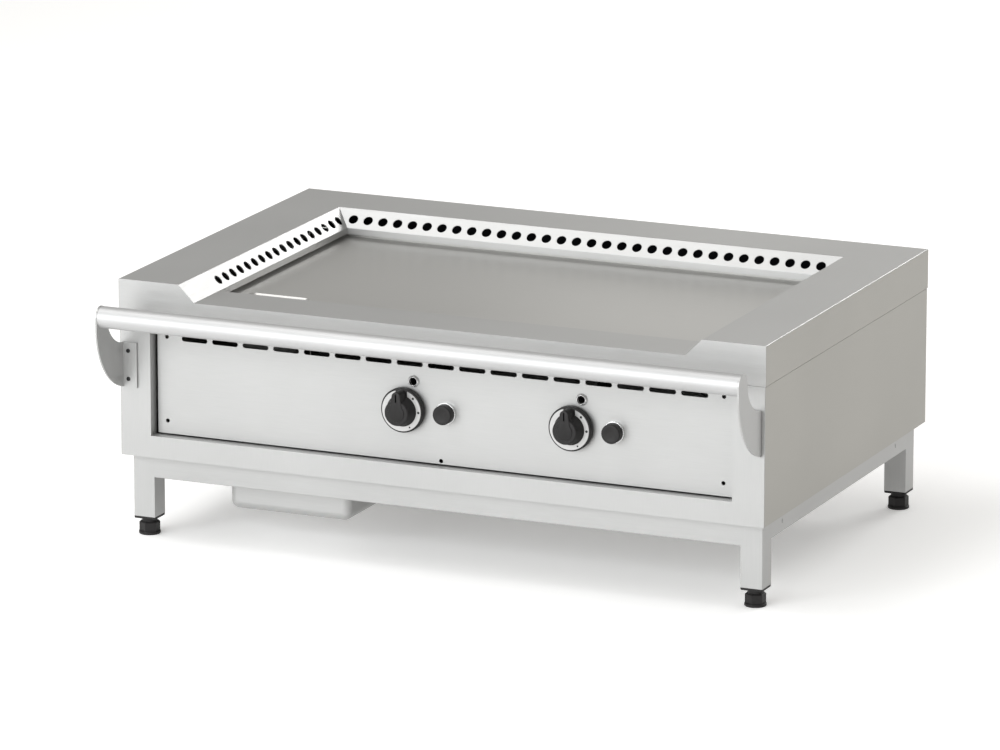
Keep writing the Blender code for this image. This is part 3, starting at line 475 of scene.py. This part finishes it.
def make(name, bm, material, location=(0, 0, 0), cuts=(), adds=(), bevel=0.0, flat=False):
    """A finished piece: its solid, what is added and cut, softened edges and smooth shading."""
    bmesh.ops.recalc_face_normals(bm, faces=bm.faces)
    mesh = bpy.data.meshes.new(name)
    bm.to_mesh(mesh)
    bm.free()
    mesh.materials.append(M[material])
    piece = bpy.data.objects.new(name, mesh)
    piece.location = location
    bpy.context.scene.collection.objects.link(piece)
    for operation, shapes in (("UNION", adds), ("DIFFERENCE", cuts)):
        for shape in shapes:
            bmesh.ops.recalc_face_normals(shape, faces=shape.faces)
            tool_mesh = bpy.data.meshes.new("tool")
            shape.to_mesh(tool_mesh)
            shape.free()
            tool = bpy.data.objects.new("tool", tool_mesh)
            tool.location = location
            bpy.context.scene.collection.objects.link(tool)
            step = piece.modifiers.new("shape", "BOOLEAN")
            step.operation = operation
            step.solver = "EXACT"
            step.object = tool
            apply_modifiers(piece)
            bpy.data.objects.remove(tool)
            bpy.data.meshes.remove(tool_mesh)
    if bevel:
        step = piece.modifiers.new("soft edges", "BEVEL")
        step.width = bevel
        step.segments = 2
        step.limit_method = "ANGLE"
        step.angle_limit = math.radians(SOFTEN_ABOVE)
        step.use_clamp_overlap = True
        apply_modifiers(piece)
    piece.data.shade_smooth()
    sharp = SHARP_BEVELLED if bevel else SHARP_PLAIN
    piece.data.set_sharp_from_angle(angle=math.radians(sharp))
    if bevel or flat:
        step = piece.modifiers.new("flat faces", "WEIGHTED_NORMAL")
        step.keep_sharp = True
        step.weight = 100
    return piece


def apply_modifiers(piece):
    """Put the modifiers' result in the piece's own mesh."""
    bpy.context.view_layer.update()
    shaped = piece.evaluated_get(bpy.context.evaluated_depsgraph_get())
    result = bpy.data.meshes.new_from_object(shaped)
    old = piece.data
    piece.modifiers.clear()
    piece.data = result
    name = old.name
    bpy.data.meshes.remove(old)
    result.name = name


def stands_for(piece, body, *nodes):
    """Ride the piece on its body, in place of the CAD nodes named."""
    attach(piece, body)
    if nodes:
        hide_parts(*nodes)
    return piece


# ------------------------------------------------------------------ top frame
def surround_outline():
    """Section of the surround, as (inward from the outer face, height), with bent corners."""
    t = SHEET
    foot = RIM_WIDTH + SLOPE
    lean = t * math.tan(math.radians(22.5))
    low = SEAM + SEAM_LIFT
    outer = [(0, low), (0, HEIGHT), (RIM_WIDTH, HEIGHT), (foot, SLOPE_FOOT),
             (foot, SLOPE_FOOT - FLANGE_DROP)]
    inner = [(foot - t, SLOPE_FOOT - FLANGE_DROP), (foot - t, SLOPE_FOOT - lean),
             (RIM_WIDTH - lean, HEIGHT - t), (t, HEIGHT - t), (t, low)]
    bends = {1: RIM_BEND_R, 2: SLOPE_BEND_R, 3: RIM_BEND_R, 6: 0.0005, 7: 0.0015, 8: 0.0006}
    return softened(outer + inner, bends)


def slope_hole(x, y, outward):
    """Cutter of one vent hole, square to the slope."""
    reach, radius = HOLE_REACH, HOLE_D / 2
    bm = turned([(0, -reach), (radius, -reach), (radius, reach), (0, reach)], "Z", HOLE_SIDES)
    lean = Vector((0, 0, 1)).rotation_difference(Vector((-outward[0], -outward[1], 1)).normalized())
    centre = Vector((x, y, SLOPE_FOOT + HOLE_UP))
    for v in bm.verts:
        v.co = lean @ v.co + centre
    return bm


def mitre_wedge(side):
    """Cutter of a side surround's rear end, along the 45 degree mitre."""
    x_out = side * (HALF + OVER)
    x_in = side * (WELL_X - 2 * OVER)
    y_in = REAR - (HALF - abs(x_in))
    outline = [(x_out, REAR + OVER), (x_out, REAR + FAR_OVER), (x_in, REAR + FAR_OVER),
               (x_in, y_in)]
    return prism(outline, "Z", SEAM - OVER, HEIGHT + OVER)


def paint_shade_inside(piece, inward):
    """Give the faces on the duct side of a surround a near-black finish: painted shade, seen through the vent
    holes.
    """
    piece.data.materials.append(M["painted_shade_dark"])
    foot = RIM_WIDTH + SLOPE
    for face in piece.data.polygons:
        spot = face.center + face.normal * SHEET
        a, z = inward(spot), spot.z
        below_slope = a + z < RIM_WIDTH + HEIGHT - SHEET * math.sqrt(2)
        if SHEET < a < foot - SHEET and z < HEIGHT - SHEET and below_slope:
            face.material_index = 1


def side_surround(name, side):
    outline = [(side * (HALF - a), z) for a, z in surround_outline()]
    last = WELL_REAR - SIDE_HOLE_END
    x = side * (WELL_X + HOLE_UP)
    holes = [slope_hole(x, last - i * HOLE_PITCH, (side, 0)) for i in range(SIDE_HOLES)]
    notch = block(*sorted((side * (WELL_X - OVER), side * (HALF - RIM_WIDTH + 0.03))), FRONT - OVER,
                  WELL_FRONT + GAP, SLOPE_FOOT - FLANGE_DROP - OVER, SLOPE_FOOT - SHEET - GAP)
    body = prism(outline, "Y", LEFT_FRAME_BOX[2], REAR)
    piece = make("left_surround" if side < 0 else "right_surround", body, "sheet_along",
                 cuts=[mitre_wedge(side), joined(holes), notch], flat=True)
    paint_shade_inside(piece, lambda spot: HALF - abs(spot.x))
    # the outward side faces take the darker, warmer copy of the steel: painted shade
    piece.data.materials.append(M["sheet_side_painted_shade"])
    for face in piece.data.polygons:
        if side * face.normal.x > 0.95 and side * face.center.x > HALF - SHEET / 2:
            face.material_index = 2
    stands_for(piece, "griddle", name)


def rear_surround():
    outline = [(REAR - a, z) for a, z in surround_outline()]
    first = -HOLE_PITCH * (REAR_HOLES - 1) / 2
    holes = [slope_hole(first + i * HOLE_PITCH, WELL_REAR + HOLE_UP, (0, 1)) for i in range(REAR_HOLES)]
    corners = []
    for side in (-1, 1):
        reach = HALF - WELL_X + FAR_OVER
        triangle = [(side * (HALF + FAR_OVER), REAR + FAR_OVER), (side * (WELL_X - FAR_OVER), REAR - reach),
                    (side * (HALF + FAR_OVER), REAR - reach)]
        corners.append(prism(triangle, "Z", SEAM - OVER, HEIGHT + OVER))
    piece = make("rear_surround", prism(outline, "X", -HALF, HALF), "sheet",
                 cuts=[*corners, joined(holes)], flat=True)
    paint_shade_inside(piece, lambda spot: REAR - spot.y)
    stands_for(piece, "griddle", "top_frame_rear")


def front_surround():
    """Fascia with the flat ledge behind its top edge."""
    run = HALF - RIM_WIDTH
    low = SEAM + SEAM_LIFT
    outline = [(-HALF, low), (HALF, low), (HALF, HEIGHT), (run, HEIGHT), (WELL_X, SLOPE_FOOT),
               (-WELL_X, SLOPE_FOOT), (-run, HEIGHT), (-HALF, HEIGHT)]
    outline = softened(outline, {3: SLOPE_BEND_R, 6: SLOPE_BEND_R})
    wide = WELL_X - GAP
    lip = SLOPE_FOOT - FLANGE_DROP
    ledge = [(FRONT + SHEET / 2, SLOPE_FOOT - SHEET), (FRONT + SHEET / 2, SLOPE_FOOT),
             (WELL_FRONT, SLOPE_FOOT), (WELL_FRONT, lip), (WELL_FRONT - SHEET, lip),
             (WELL_FRONT - SHEET, SLOPE_FOOT - SHEET)]
    ledge = softened(ledge, {2: RIM_BEND_R, 5: 0.0005})
    piece = make("front_fascia", prism(outline, "Y", FRONT, FRONT + SHEET), "sheet",
                 adds=[prism(ledge, "X", -wide, wide)], bevel=BEVEL)
    stands_for(piece, "griddle", "top_frame_front")


# ------------------------------------------------------------------ plate
def griddle_plate():
    """Plate with its upstand and the grease hole's countersunk edge."""
    x0, x1, y0, y1, z0, z1 = PLATE_BOX
    t = UPSTAND_THICK
    rim = [(x0, y0 + t), (x0 + t, y0 + t), (x0 + t, y1 - t), (x1 - t, y1 - t), (x1 - t, y0 + t), (x1, y0 + t),
           (x1, y1), (x0, y1)]
    hx0, hx1, hy0, hy1 = GREASE_HOLE

    def hole(up, grow):
        outline = rounded_rect(hx0 - grow, hx1 + grow, hy0 - grow, hy1 + grow,
                               GREASE_CORNER_R + grow, 10)
        return [(a, b, up) for a, b in outline]

    drop = [hole(z0 - OVER, 0), hole(PLATE_TOP - HOLE_SINK, 0), hole(PLATE_TOP, HOLE_SINK),
            hole(z1 + OVER, HOLE_SINK)]
    piece = make("cooking_plate", block(x0, x1, y0, y1, z0, PLATE_TOP), "plate",
                 adds=[prism(rim, "Z", PLATE_TOP - PLATE_WELD, z1)],
                 cuts=[lofted(drop)], flat=True)
    stands_for(piece, "griddle", "griddle_plate")


# ------------------------------------------------------------------ cabinet
def cabinet():
    """Front posts, side and rear panels, and the folded rails below and above the opening."""
    front, skin = CABINET_FRONT, CABINET_FRONT + SHEET
    for name, side in SIDES:
        flange_end = OPENING_X - PANEL_FLANGE
        outline = [(OPENING_X, front), (CABINET_X, front), (CABINET_X, skin), (OPENING_X + SHEET, skin),
                   (OPENING_X + SHEET, FLANGE_BACK), (flange_end, FLANGE_BACK),
                   (flange_end, FLANGE_FACE), (OPENING_X, FLANGE_FACE)]
        outline = softened([(side * x, y) for x, y in outline], {1: FOLD_R})
        holes = [prism(circle((side * PANEL_HOLE_X, z), PANEL_HOLE_D / 2, 24), "Y",
                       FLANGE_FACE - 0.002, FLANGE_BACK + 0.002) for z in PANEL_HOLE_ZS]
        xa, xb = sorted((side * (OPENING_X - 2 * PANEL_FLANGE), side * (OPENING_X - GAP)))
        low_flange = block(xa, xb, front, FLANGE_BACK + 0.002, CABINET_BASE - OVER,
                           OPENING_LOW + 2 * PANEL_MARGIN)
        xr = sorted((side * (OPENING_X - PANEL_MARGIN - PANEL_END - RELIEF), side * OPENING_X))
        relief = block(*xr, FLANGE_FACE - 0.001, FLANGE_BACK + 0.001, CABINET_BASE - OVER,
                       OPENING_HIGH)
        piece = make("cabinet_post_" + name, prism(outline, "Z", CABINET_BASE, CABINET_TOP),
                     "sheet_up", cuts=[joined(holes), low_flange, relief], flat=True)
        stands_for(piece, "griddle", "front_post_" + name)
        x0, x1, y0, y1, z0, z1 = span(name + "_side_panel")
        outer, inner = (x1, x0) if side > 0 else (x0, x1)
        section = softened([(inner, z0), (outer, z0), (outer, z1), (inner, z1)],
                           {1: 0.0008, 2: SHEET * 0.9})
        # the side panel takes the darker, warmer copy of the steel: painted shade
        piece = make("cabinet_side_" + name, prism(section, "Y", y0, y1), "sheet_side_painted_shade", flat=True)
        stands_for(piece, "griddle", name + "_side_panel")
    piece = make("cabinet_rear", block(*span("rear_panel")), "sheet", bevel=PANEL_BEVEL)
    stands_for(piece, "griddle", "rear_panel")
    x1, back = OPENING_X, PANEL_BACK
    low = [(front, CABINET_BASE), (front, OPENING_LOW), (back, OPENING_LOW),
           (back, OPENING_LOW - SHEET), (skin, OPENING_LOW - SHEET), (skin, CABINET_BASE)]
    piece = make("cabinet_lower_rail", prism(softened(low, {1: FOLD_R}), "X", -x1, x1),
                 "sheet_up", flat=True)
    stands_for(piece, "griddle", "front_lower_rail")
    high = [(front, CABINET_TOP), (front, OPENING_HIGH), (back, OPENING_HIGH),
            (back, OPENING_HIGH + SHEET), (skin, OPENING_HIGH + SHEET), (skin, CABINET_TOP)]
    piece = make("cabinet_upper_rail", prism(softened(high, {1: FOLD_R}), "X", -x1, x1),
                 "sheet_up", flat=True)
    stands_for(piece, "griddle", "front_upper_rail")


def centre_of(node):
    """Centre (x, z) of a CAD node, seen from the front."""
    x0, x1, _, _, z0, z1 = span(node)
    return (x0 + x1) / 2, (z0 + z1) / 2


def control_panel():
    """Recessed panel with its slots and holes."""
    half, r = SLOT_LENGTH / 2, SLOT_HEIGHT / 2
    cutters = []
    for i in range(SLOT_COUNT):
        x = (i - (SLOT_COUNT - 1) / 2) * SLOT_PITCH
        cutters.append(arc((x + half - r, SLOT_Z), r, -90, 90, 12)
                       + arc((x - half + r, SLOT_Z), r, 90, 270, 12))
    spots = [(s * PANEL_HOLE_X, z) for s in (-1, 1) for z in PANEL_HOLE_ZS] + [(0.0, PANEL_HOLE_MID)]
    cutters += [circle(spot, PANEL_HOLE_D / 2, 24) for spot in spots]
    for name, _ in SIDES:
        cutters.append(circle(centre_of("control_knob_" + name), SPINDLE_PASS_R, 24))
        cutters.append(circle(centre_of("igniter_button_" + name), BUTTON_PASS_R, 32))
        cutters.append(circle(centre_of("sight_ring_" + name), SIGHT_BORE_R, 32))
    x0, x1, y0, y1, z0, z1 = PANEL_BOX
    piece = make("control_fascia", block(x0 + PANEL_END, x1 - PANEL_END, y0, y1, z0, z1), "sheet",
                 cuts=[joined([prism(o, "Y", y0 - OVER, y1 + OVER) for o in cutters])],
                 bevel=SMALL_BEVEL)
    stands_for(piece, "griddle", "control_panel")


# ------------------------------------------------------------------ knobs, buttons and sight rings
def grip_ring(inset, y):
    """Front view of the pointer grip, drawn in by an inset, at one depth."""
    half, tip, radius = GRIP_WIDTH / 2 - inset, GRIP_TIP_WIDTH / 2 - inset, GRIP_R - inset
    meet = math.degrees(math.acos(half / radius))
    body = arc((0, 0), radius, 180 - meet, 360 + meet, 30)
    crown = arc((0, GRIP_LENGTH - inset - tip), tip, 0, 180, 14)
    return [(a, y, b) for a, b in body + crown]


def knobs():
    """Each knob with its pointer grip, its silver dial ring and the ring's three marks."""
    skirt_round, relief, crown = 0.0022, 0.0006, 0.0028
    socket_deep, groove_half, groove_deep = 0.022, 0.0014, 0.0030
    groove_low, groove_high = GRIP_LENGTH - 0.0180, GRIP_LENGTH - 0.0035
    chamfer, mark_proud, mark_sunk = 0.0003, 0.0001, 0.0004
    front = SKIRT + KNOB_RISE
    near = SKIRT + GAP
    for name, _ in SIDES:
        x, z = centre_of("valve_spindle_" + name)
        back = span("control_knob_" + name)[3]
        side_profile = arc((SKIRT_R - skirt_round, SKIRT - skirt_round), skirt_round, 0, 90, 6)
        top = arc((KNOB_FRONT_R - crown, front - crown), crown, 18, 90, 6)
        profile = [(0, 0), (SKIRT_R - 0.0010, 0), (SKIRT_R, 0.0010), *side_profile,
                   (KNOB_BODY_R + relief, SKIRT), (KNOB_BODY_R, SKIRT + relief), *top, (0, front)]
        # inset and depth of each ring of the grip, its front edge rounded
        depths = ((0.0, -SKIRT + 0.0008), (0.0, -front - 0.0002), (0.0004, -front - 0.0010),
                  (0.0012, -front - 0.0014))
        grip = lofted([grip_ring(inset, y) for inset, y in depths])
        socket = prism(circle((0, 0), SPINDLE_HOLE_R, 32), "Y", -socket_deep, OVER)
        groove = block(-groove_half, groove_half, -front - OVER, -front + groove_deep,
                       groove_low, groove_high)
        knob = make("knob_" + name, turned(profile, "-Y", 96), "black", (x, back, z), adds=[grip],
                    cuts=[socket, groove])
        stands_for(knob, name + "_knob", "control_knob_" + name)
        ring = turned([(DIAL_BORE, near), (DIAL_RIM, near), (DIAL_RIM, near + DIAL_THICK - chamfer),
                       (DIAL_RIM - chamfer, near + DIAL_THICK), (DIAL_BORE, near + DIAL_THICK)],
                      "-Y", 96)
        half = GRIP_WIDTH / 2 + GAP
        slot = block(-half, half, -near - OVER, -near + OVER, 0, 0.08)
        dial = make("dial_ring_" + name, ring, "dial", (x, back, z), cuts=[slot])
        stands_for(dial, name + "_knob", "knob_dial_" + name)
        for i, degrees in enumerate(DIAL_MARKS):
            turn = math.radians(90 - degrees)
            middle = (DIAL_BORE + DIAL_RIM) / 2
            size = SMALL_MARK_R if i == len(DIAL_MARKS) - 1 else LARGE_MARK_R
            spot = circle((middle * math.cos(turn), middle * math.sin(turn)), size, 24)
            mark = prism(spot, "Y", -near - DIAL_THICK - mark_proud, -near - DIAL_THICK + mark_sunk)
            mark = make("dial_mark_%s_%d" % (name, i + 1), mark, "ink", (x, back, z))
            stands_for(mark, name + "_knob")


def igniters():
    """Igniter buttons in their collars."""
    stem, barrel, bore, edge, edge_soft = 0.005, 0.009, 0.0174, 0.0190, 0.0009
    thick, floor, length, end, clear = 0.006, 0.001, 0.032, 0.028, 0.0004
    cap, tall, dish, cap_soft = 0.0170, 0.0152, 0.0110, 0.0022
    stem_long, cap_lift = 0.023, 0.0035
    for name, _ in SIDES:
        x, z = centre_of("igniter_button_" + name)
        profile = [(0, -length), (barrel, -length), (barrel, 0), (edge, 0),
                   *arc((edge - edge_soft, thick - edge_soft), edge_soft, 0, 90, 4),
                   (bore, thick), (bore, floor), (stem + clear, floor), (stem + clear, -end), (0, -end)]
        collar = make("button_collar_" + name, turned(profile, "-Y", 96), "chrome",
                      (x, PANEL_FACE - GAP, z))
        stands_for(collar, "griddle", "igniter_collar_" + name)
        back = PANEL_FACE - GAP - floor - cap_lift
        profile = [(0, -stem_long), (stem, -stem_long), (stem, 0), (cap, 0),
                   *arc((cap - cap_soft, tall - cap_soft), cap_soft, 0, 90, 6),
                   (dish, tall), (dish - 0.0010, tall - 0.0004), (dish * 0.5, tall - 0.0009),
                   (0, tall - 0.0011)]
        button = make("push_button_" + name, turned(profile, "-Y", 96), "black", (x, back, z))
        stands_for(button, name + "_button", "igniter_button_" + name)


def sight_rings():
    """Flanged rings of the two sight holes."""
    bore, base, front, rise, flange = SIGHT_BORE_R, 0.0105, 0.0085, 0.0045, 0.0006
    for name, _ in SIDES:
        x, z = centre_of("sight_ring_" + name)
        profile = [(bore, 0), (base, 0), (base, flange), (front + 0.0003, rise - 0.0006),
                   (front - 0.0004, rise), (bore + 0.0005, rise), (bore, rise - 0.0005)]
        ring = make("sight_grommet_" + name, turned(profile, "-Y", 64), "chrome",
                    (x, PANEL_FACE - GAP, z))
        stands_for(ring, "griddle", "sight_ring_" + name)


# ------------------------------------------------------------------ handrail
def bracket_outline():
    """Side view of a handrail bracket, as (y, z)."""
    head = RAIL_R + BRACKET_CAP
    centre_y = FRONT + BRACKET_ARC_OUT
    in_by = BRACKET_ARC_OUT + GAP
    centre_z = BRACKET_LOW + math.sqrt(BRACKET_ARC_R ** 2 - in_by ** 2)
    low_angle = math.degrees(math.atan2(BRACKET_LOW - centre_z, -in_by))
    outer = arc((centre_y, centre_z), BRACKET_ARC_R, 180, low_angle + 360, 40)
    notch_y, notch_z = FRONT + NOTCH_IN, BRACKET_HIGH + NOTCH_UP
    start = math.degrees(math.acos((NOTCH_IN + BRACKET_SHEET + GAP) / NOTCH_R))
    finish_at = math.degrees(math.acos((notch_y - RAIL_Y - head) / NOTCH_R))
    notch = arc((notch_y, notch_z), NOTCH_R, 180 + start, 180 + finish_at, 24)
    crown = arc((RAIL_Y, RAIL_Z), head, 0, 180, 32)
    return outer + [(FRONT - GAP, BRACKET_HIGH)] + notch + crown


def handrail():
    x0, x1 = TUBE_BOX[0], TUBE_BOX[1]
    length = x1 - x0
    bore = RAIL_R - RAIL_WALL
    tube = turned([(bore, 0), (RAIL_R, 0), (RAIL_R, length), (bore, length)], "X", 96)
    piece = make("rail_tube", tube, "rail", (x0, RAIL_Y, RAIL_Z))
    stands_for(piece, "griddle", "handrail_tube")
    middle = (BRACKET_LOW + BRACKET_HIGH) / 2
    face = FRONT - GAP - BRACKET_SHEET
    for name, side in SIDES:
        low, high = sorted((side * BRACKET_X, side * (BRACKET_X - BRACKET_SHEET)))
        xa, xb = sorted((side * (BRACKET_X - BRACKET_SHEET / 2), side * (BRACKET_X - BRACKET_FLANGE)))
        flange = block(xa, xb, face, FRONT - GAP, BRACKET_LOW, BRACKET_HIGH)
        piece = make("rail_bracket_" + name, prism(bracket_outline(), "X", low, high), "sheet_up",
                     adds=[flange], bevel=BEVEL)
        stands_for(piece, "griddle", "handrail_bracket_" + name)
        x = side * (BRACKET_X - SCREW_FROM_EDGE)
        for i, up in enumerate(BRACKET_SCREWS):
            screw_head("bracket_screw_%s_%d" % (name, i + 1), (x, face - 0.0001, middle + up),
                       BRACKET_SCREW_R, BRACKET_SCREW_RISE)


def screw_head(name, place, radius, rise):
    """Low domed head with a hexagon socket, its face to the front."""
    dome = arc((0, rise - radius * 1.1), radius * 1.1, 66, 90, 5)
    profile = [(0, 0), (radius, 0), (radius, rise * 0.45), *[(a, b) for a, b in dome if a > 1e-5],
               (0, rise)]
    profile = [(min(a, radius), b) for a, b in profile]
    socket = prism(circle((0, 0), radius * 0.45, 6), "Y", -rise - 0.002, -rise * 0.35)
    piece = make(name, turned(profile, "-Y", 32), "screw", place, cuts=[socket])
    stands_for(piece, "griddle")


# ------------------------------------------------------------------ underframe
def tube_piece(node, axis, material):
    """Square tube, open at its ends. A leg has only its outer corner rounded."""
    x0, x1, y0, y1, z0, z1 = span(node)
    spans = {"X": ((y0, y1), (z0, z1), (x0, x1)), "Y": ((x0, x1), (z0, z1), (y0, y1)),
             "Z": ((x0, x1), (y0, y1), (z0, z1))}
    (a0, a1), (b0, b1), (start, end) = spans[axis]
    w = TUBE_WALL
    corners = [(a0, b0), (a1, b0), (a1, b1), (a0, b1)]
    if axis == "Z":
        outmost = max(range(4), key=lambda i: abs(corners[i][0]) + abs(corners[i][1] - FOOTPRINT_Y))
        outer = softened(corners, {outmost: TUBE_CORNER_R})
    else:
        outer = softened(corners, {i: TUBE_CORNER_R for i in range(4)})
        start, end = start - GAP, end + GAP
    inner = [(a0 + w, b0 + w), (a1 - w, b0 + w), (a1 - w, b1 - w), (a0 + w, b1 - w)]
    piece = make(node + "_tube", prism(outer, axis, start, end), material,
                 cuts=[prism(inner, axis, start - OVER, end + OVER)], flat=True)
    stands_for(piece, "griddle", node)


def underframe():
    for end in ("front", "rear"):
        tube_piece("frame_rail_" + end, "X", "sheet")
        for name, _ in SIDES:
            tube_piece("leg_%s_%s" % (end, name), "Z", "sheet_up")
            foot("%s_%s" % (end, name))
    for name, side in SIDES:
        tube_piece("frame_rail_" + name, "Y", "sheet_along")
        x0, x1, y0, y1, z0, z1 = span("frame_rail_" + name)
        x = x1 if side > 0 else x0
        for i, y in enumerate((y0 + SIDE_SCREW_INSET, y1 - SIDE_SCREW_INSET)):
            head = turned([(0, 0), (0.0036, 0), (0.0036, 0.0003), (0.0033, 0.0006), (0, 0.0007)],
                          "X", 32)
            for v in head.verts:
                v.co.x *= side
            piece = make("side_rail_screw_%s_%d" % (name, i + 1), head, "sheet_up",
                         (x, y, z1 - SIDE_SCREW_DOWN))
            stands_for(piece, "griddle")


def foot(corner):
    """Levelling foot with its threaded stem, and the insert it screws into."""
    node = "levelling_foot_" + corner
    x0, x1, y0, y1, z0, z1 = span(node)
    x, y = (x0 + x1) / 2, (y0 + y1) / 2
    base_r = (x1 - x0) / 2
    plate_low = span("leg_insert_" + corner)[4]
    hex_low, hex_high, neck_r, stem_r = 0.0060, 0.0235, 0.0135, 0.005
    profile = [(0, 0), (base_r - 0.0008, 0), (base_r, 0.0008), (base_r, hex_low - 0.0018),
               (base_r - 0.0012, hex_low - 0.0006), (neck_r, hex_low), (neck_r, plate_low - GAP),
               (stem_r, plate_low - GAP)]
    pitch, depth = 0.0015, 0.0007
    turns = int((z1 - plate_low) / pitch)
    for i in range(turns):
        z = plate_low + i * pitch
        profile += [(stem_r, z + pitch * 0.25), (stem_r - depth, z + pitch * 0.75)]
    profile += [(stem_r - depth, z1), (0, z1)]
    nut = []
    for radius, z in ((HEX_CORNER_R, hex_low - 0.002), (HEX_CORNER_R, hex_high - 0.0028),
                      (HEX_TOP_R, hex_high)):
        nut.append([(a, b, z) for a, b in circle((0, 0), radius, 6, 30)])
    body = make(node + "_body", turned(profile, "Z", 64), "black", (x, y, 0), adds=[lofted(nut)])
    stands_for(body, "foot_" + corner, node)
    ix0, ix1, iy0, iy1, iz0, iz1 = span("leg_insert_" + corner)
    plug = (ix1 - ix0) / 2 - TUBE_WALL - GAP
    levels = []
    for inset, up in ((0.0010, iz0), (0.0, iz0 + 0.0010), (0.0, iz0 + 0.0042)):
        outline = rounded_rect(ix0 - x + inset, ix1 - x - inset, iy0 - y + inset, iy1 - y - inset,
                               TUBE_CORNER_R - inset * 0.5)
        levels.append([(a, b, up) for a, b in outline])
    plate = lofted(levels)
    insert = make("leg_plug_" + corner, plate, "black", (x, y, 0),
                  adds=[block(-plug, plug, -plug, plug, iz0 + 0.002, iz1)],
                  cuts=[prism(circle((0, 0), stem_r + 0.0004, 32), "Z", iz0 - OVER, iz1 + OVER)])
    stands_for(insert, "griddle", "leg_insert_" + corner)


# ------------------------------------------------------------------ tray
def grease_tray():
    """Pressed tray with a lip at each side."""
    lip_x0, lip_x1, y0, y1, z0, z1 = TRAY_BOX
    lip, w, r = TRAY_LIP, TRAY_SHEET, TRAY_CORNER_R
    x0, x1 = lip_x0 + lip, lip_x1 - lip
    steps = 8

    def level(up, inset, radius):
        outline = rounded_rect(x0 + inset, x1 - inset, y0 + inset, y1 - inset, radius)
        return [(a, b, z0 + up) for a, b in outline]

    outer = []
    for i in range(steps + 1):
        turn = math.radians(90 * i / steps)
        inset = r * (1 - math.sin(turn))
        outer.append(level(r * (1 - math.cos(turn)), inset, max(r - inset, 0.002)))
    outer.append(level(z1 - z0, 0.0, r))
    inner = []
    inside = r - w
    for i in range(steps + 1):
        turn = math.radians(90 * i / steps)
        inset = inside * (1 - math.sin(turn))
        inner.append(level(w + inside * (1 - math.cos(turn)), w + inset, max(inside - inset, 0.0015)))
    inner.append(level(z1 - z0 + OVER, w, inside))
    rim = block(lip_x0, lip_x1, y0 + 2 * r, y1 - w, z1 - w, z1)
    piece = make("drip_tray", lofted(outer), "sheet", adds=[rim], cuts=[lofted(inner)], flat=True)
    stands_for(piece, "tray", "grease_tray")


def carried_over():
    """CAD nodes that are shown as they are, with a finish of their own."""
    finishes = {"base_panel": "zinc", "plate_support_front": "zinc", "plate_support_rear": "zinc",
                "burner_bar_front": "zinc", "burner_bar_rear": "zinc", "grease_chute": "zinc",
                "tray_runner_left": "zinc", "tray_runner_right": "zinc", "gas_manifold": "zinc",
                "valve_spindle_left": "zinc", "valve_spindle_right": "zinc", "gas_valve_left": "brass",
                "gas_valve_right": "brass", "burner_left": "iron", "burner_right": "iron"}
    for node, finish in finishes.items():
        for material_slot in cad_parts[node].material_slots:
            material_slot.material = M[finish]


# ------------------------------------------------------------------ studio
def studio():
    """Pale floor, soft light and the camera at the photograph's viewing angle."""
    floor = block(-FLOOR_SIDE, FLOOR_SIDE, -FLOOR_SIDE, FLOOR_BACK, -FLOOR_THICK, 0.0)
    mesh = bpy.data.meshes.new("floor")
    floor.to_mesh(mesh)
    floor.free()
    mesh.materials.append(floor_material())
    floor = bpy.data.objects.new("floor", mesh)
    bpy.context.scene.collection.objects.link(floor)

    world = bpy.data.worlds.new("studio")
    bpy.context.scene.world = world
    world.use_nodes = True
    background = world.node_tree.nodes["Background"]
    background.inputs["Color"].default_value = WORLD_COLOUR
    background.inputs["Strength"].default_value = WORLD_STRENGTH

    def panel(name, place, target, size, power, colour=(1, 1, 1)):
        light = bpy.data.lights.new(name, "AREA")
        light.shape = "RECTANGLE"
        light.size, light.size_y = size
        light.energy = power
        light.color = colour
        made = bpy.data.objects.new(name, light)
        made.location = place
        made.rotation_euler = (Vector(target) - Vector(place)).to_track_quat("-Z", "Y").to_euler()
        bpy.context.scene.collection.objects.link(made)

    panel("key_front_left", (-1.6, -5.8, 2.1), AIM, (6.0, 3.4), 330, (0.965, 0.985, 1.0))
    panel("rear_wide", (0.6, 6.2, 2.5), AIM, (7.0, 3.0), 34, (1.0, 0.99, 0.96))
    panel("rear_right_high", (1.8, 5.8, 3.1), (0.2, 0, 0.4), (2.4, 1.4), 110)
    panel("overhead_left", (-2.2, -1.2, 5.2), AIM, (3.0, 3.0), 110)

    camera = bpy.data.cameras.new("camera")
    camera.sensor_width = CAMERA_SENSOR
    camera.lens = CAMERA_LENS
    camera.clip_end = CAMERA_SEES
    made = bpy.data.objects.new("camera", camera)
    made.location = CAMERA_SPOT
    made.rotation_euler = (math.pi / 2 - CAMERA_DOWN, 0, CAMERA_TURN)
    bpy.context.scene.collection.objects.link(made)
    bpy.context.scene.camera = made
    bpy.context.scene.view_settings.view_transform = "Standard"


def main():
    side_surround("top_frame_left", -1)
    side_surround("top_frame_right", 1)
    rear_surround()
    front_surround()
    griddle_plate()
    cabinet()
    control_panel()
    knobs()
    igniters()
    sight_rings()
    handrail()
    underframe()
    grease_tray()
    carried_over()
    studio()


main()
